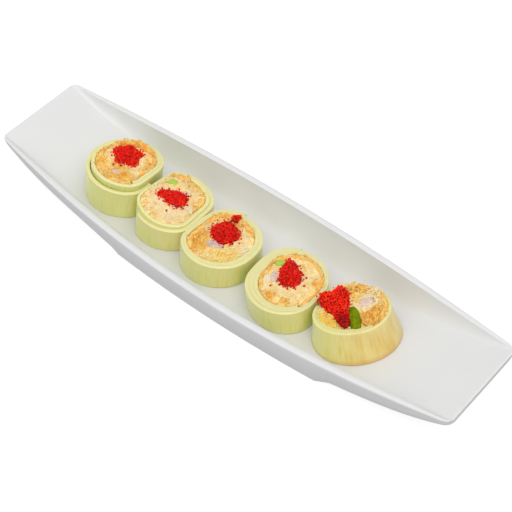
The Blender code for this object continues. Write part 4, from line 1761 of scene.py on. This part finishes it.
@dataclass
class Studio:
    """Pale floor, soft light and the camera at the photo's angle."""

    azimuth: float = 40.0
    elevation: float = 49.02
    roll: float = -0.351
    distance: float = 0.9123
    focal: float = 1452.8
    picture: int = 512
    target: Vector = field(default_factory=lambda: Vector((4.85, 6.97, 11.0)) * MM)
    floor_size: float = 6.0

    def build(self) -> None:
        """Place floor, light and camera."""
        self.make_floor()
        self.make_light("key", Vector((0.6, -0.3, 1.9)), 1.8, 19.0)
        self.make_light("fill", Vector((0.2, -1.2, 1.2)), 1.4, 6.5)
        self.make_world()
        self.make_camera()

    def make_floor(self) -> None:
        """A wide plain floor."""
        deselect_all()
        bpy.ops.mesh.primitive_plane_add(size=self.floor_size, location=(0, 0, 0))
        floor = bpy.context.active_object
        floor.name = "floor"
        material = bpy.data.materials.new("studio_floor")
        material.use_nodes = True
        shader = material.node_tree.nodes["Principled BSDF"]
        set_inputs(shader, Base_Color=(0.35, 0.35, 0.35, 1.0), Roughness=0.9,
                   Emission_Color=WHITE, Emission_Strength=0.75)
        floor.data.materials.append(material)
        floor.visible_diffuse = False
        floor.visible_glossy = False

    @staticmethod
    def make_light(name: str, place: Vector, size: float, power: float) -> None:
        """A soft square light that looks at the dish.

        Args:
            name: Its name.
            place: Where it hangs.
            size: Its width.
            power: Its power in watts.
        """
        bpy.ops.object.light_add(type="AREA", location=place)
        light = bpy.context.active_object
        light.name = name
        light.data.size = size
        light.data.energy = power
        light.rotation_euler = (Vector((0, 0, 0)) - place).to_track_quat("-Z", "Y").to_euler()

    @staticmethod
    def make_world() -> None:
        """White surroundings above the table and a greyer tone below it."""
        world = bpy.data.worlds.new("studio")
        bpy.context.scene.world = world
        world.use_nodes = True
        background = world.node_tree.nodes["Background"]
        set_inputs(background, Color=WHITE, Strength=0.64)
        sketch = NodeSketch(world.node_tree)
        upward = sketch.add("ShaderNodeSeparateXYZ")
        sketch.wire(sketch.add("ShaderNodeTexCoord").outputs["Generated"], upward.inputs[0])
        height = sketch.ramp(upward.outputs["Z"], -0.5, 0.3)
        tone = sketch.mix(height, (0.85, 0.85, 0.85, 1.0), WHITE)
        sketch.wire(tone, background.inputs["Color"])
        bpy.context.scene.view_settings.view_transform = "Standard"

    def make_camera(self) -> None:
        """The camera that the photo's outline was fitted with."""
        turn, rise = radians(self.azimuth), radians(self.elevation)
        right = Vector((cos(turn), sin(turn), 0))
        ahead = Vector((-sin(turn), cos(turn), 0)) * cos(rise) - Vector((0, 0, sin(rise)))
        upward = right.cross(ahead)
        tip = radians(self.roll)
        side = cos(tip) * right + sin(tip) * upward
        top = -sin(tip) * right + cos(tip) * upward
        place = self.target - ahead * self.distance
        bpy.ops.object.camera_add()
        camera = bpy.context.active_object
        camera.name = "camera"
        camera.matrix_world = Matrix((
            (side.x, top.x, -ahead.x, place.x),
            (side.y, top.y, -ahead.y, place.y),
            (side.z, top.z, -ahead.z, place.z),
            (0, 0, 0, 1),
        ))
        camera.data.sensor_width = 36.0
        camera.data.lens = self.focal / self.picture * camera.data.sensor_width
        camera.data.clip_start = 0.01
        bpy.context.scene.camera = camera


def main() -> None:
    """Build the object and its studio."""
    logging.basicConfig(level=logging.INFO, format="%(name)s: %(message)s")
    finishes = Finishes()
    models = Models()
    DISH.build(finishes)
    log.info("dish made")
    for roll in ROLLS:
        roll.build(finishes, models)
        log.info("roll %d made", roll.number)
    Studio().build()


if __name__ == "__main__":
    main()
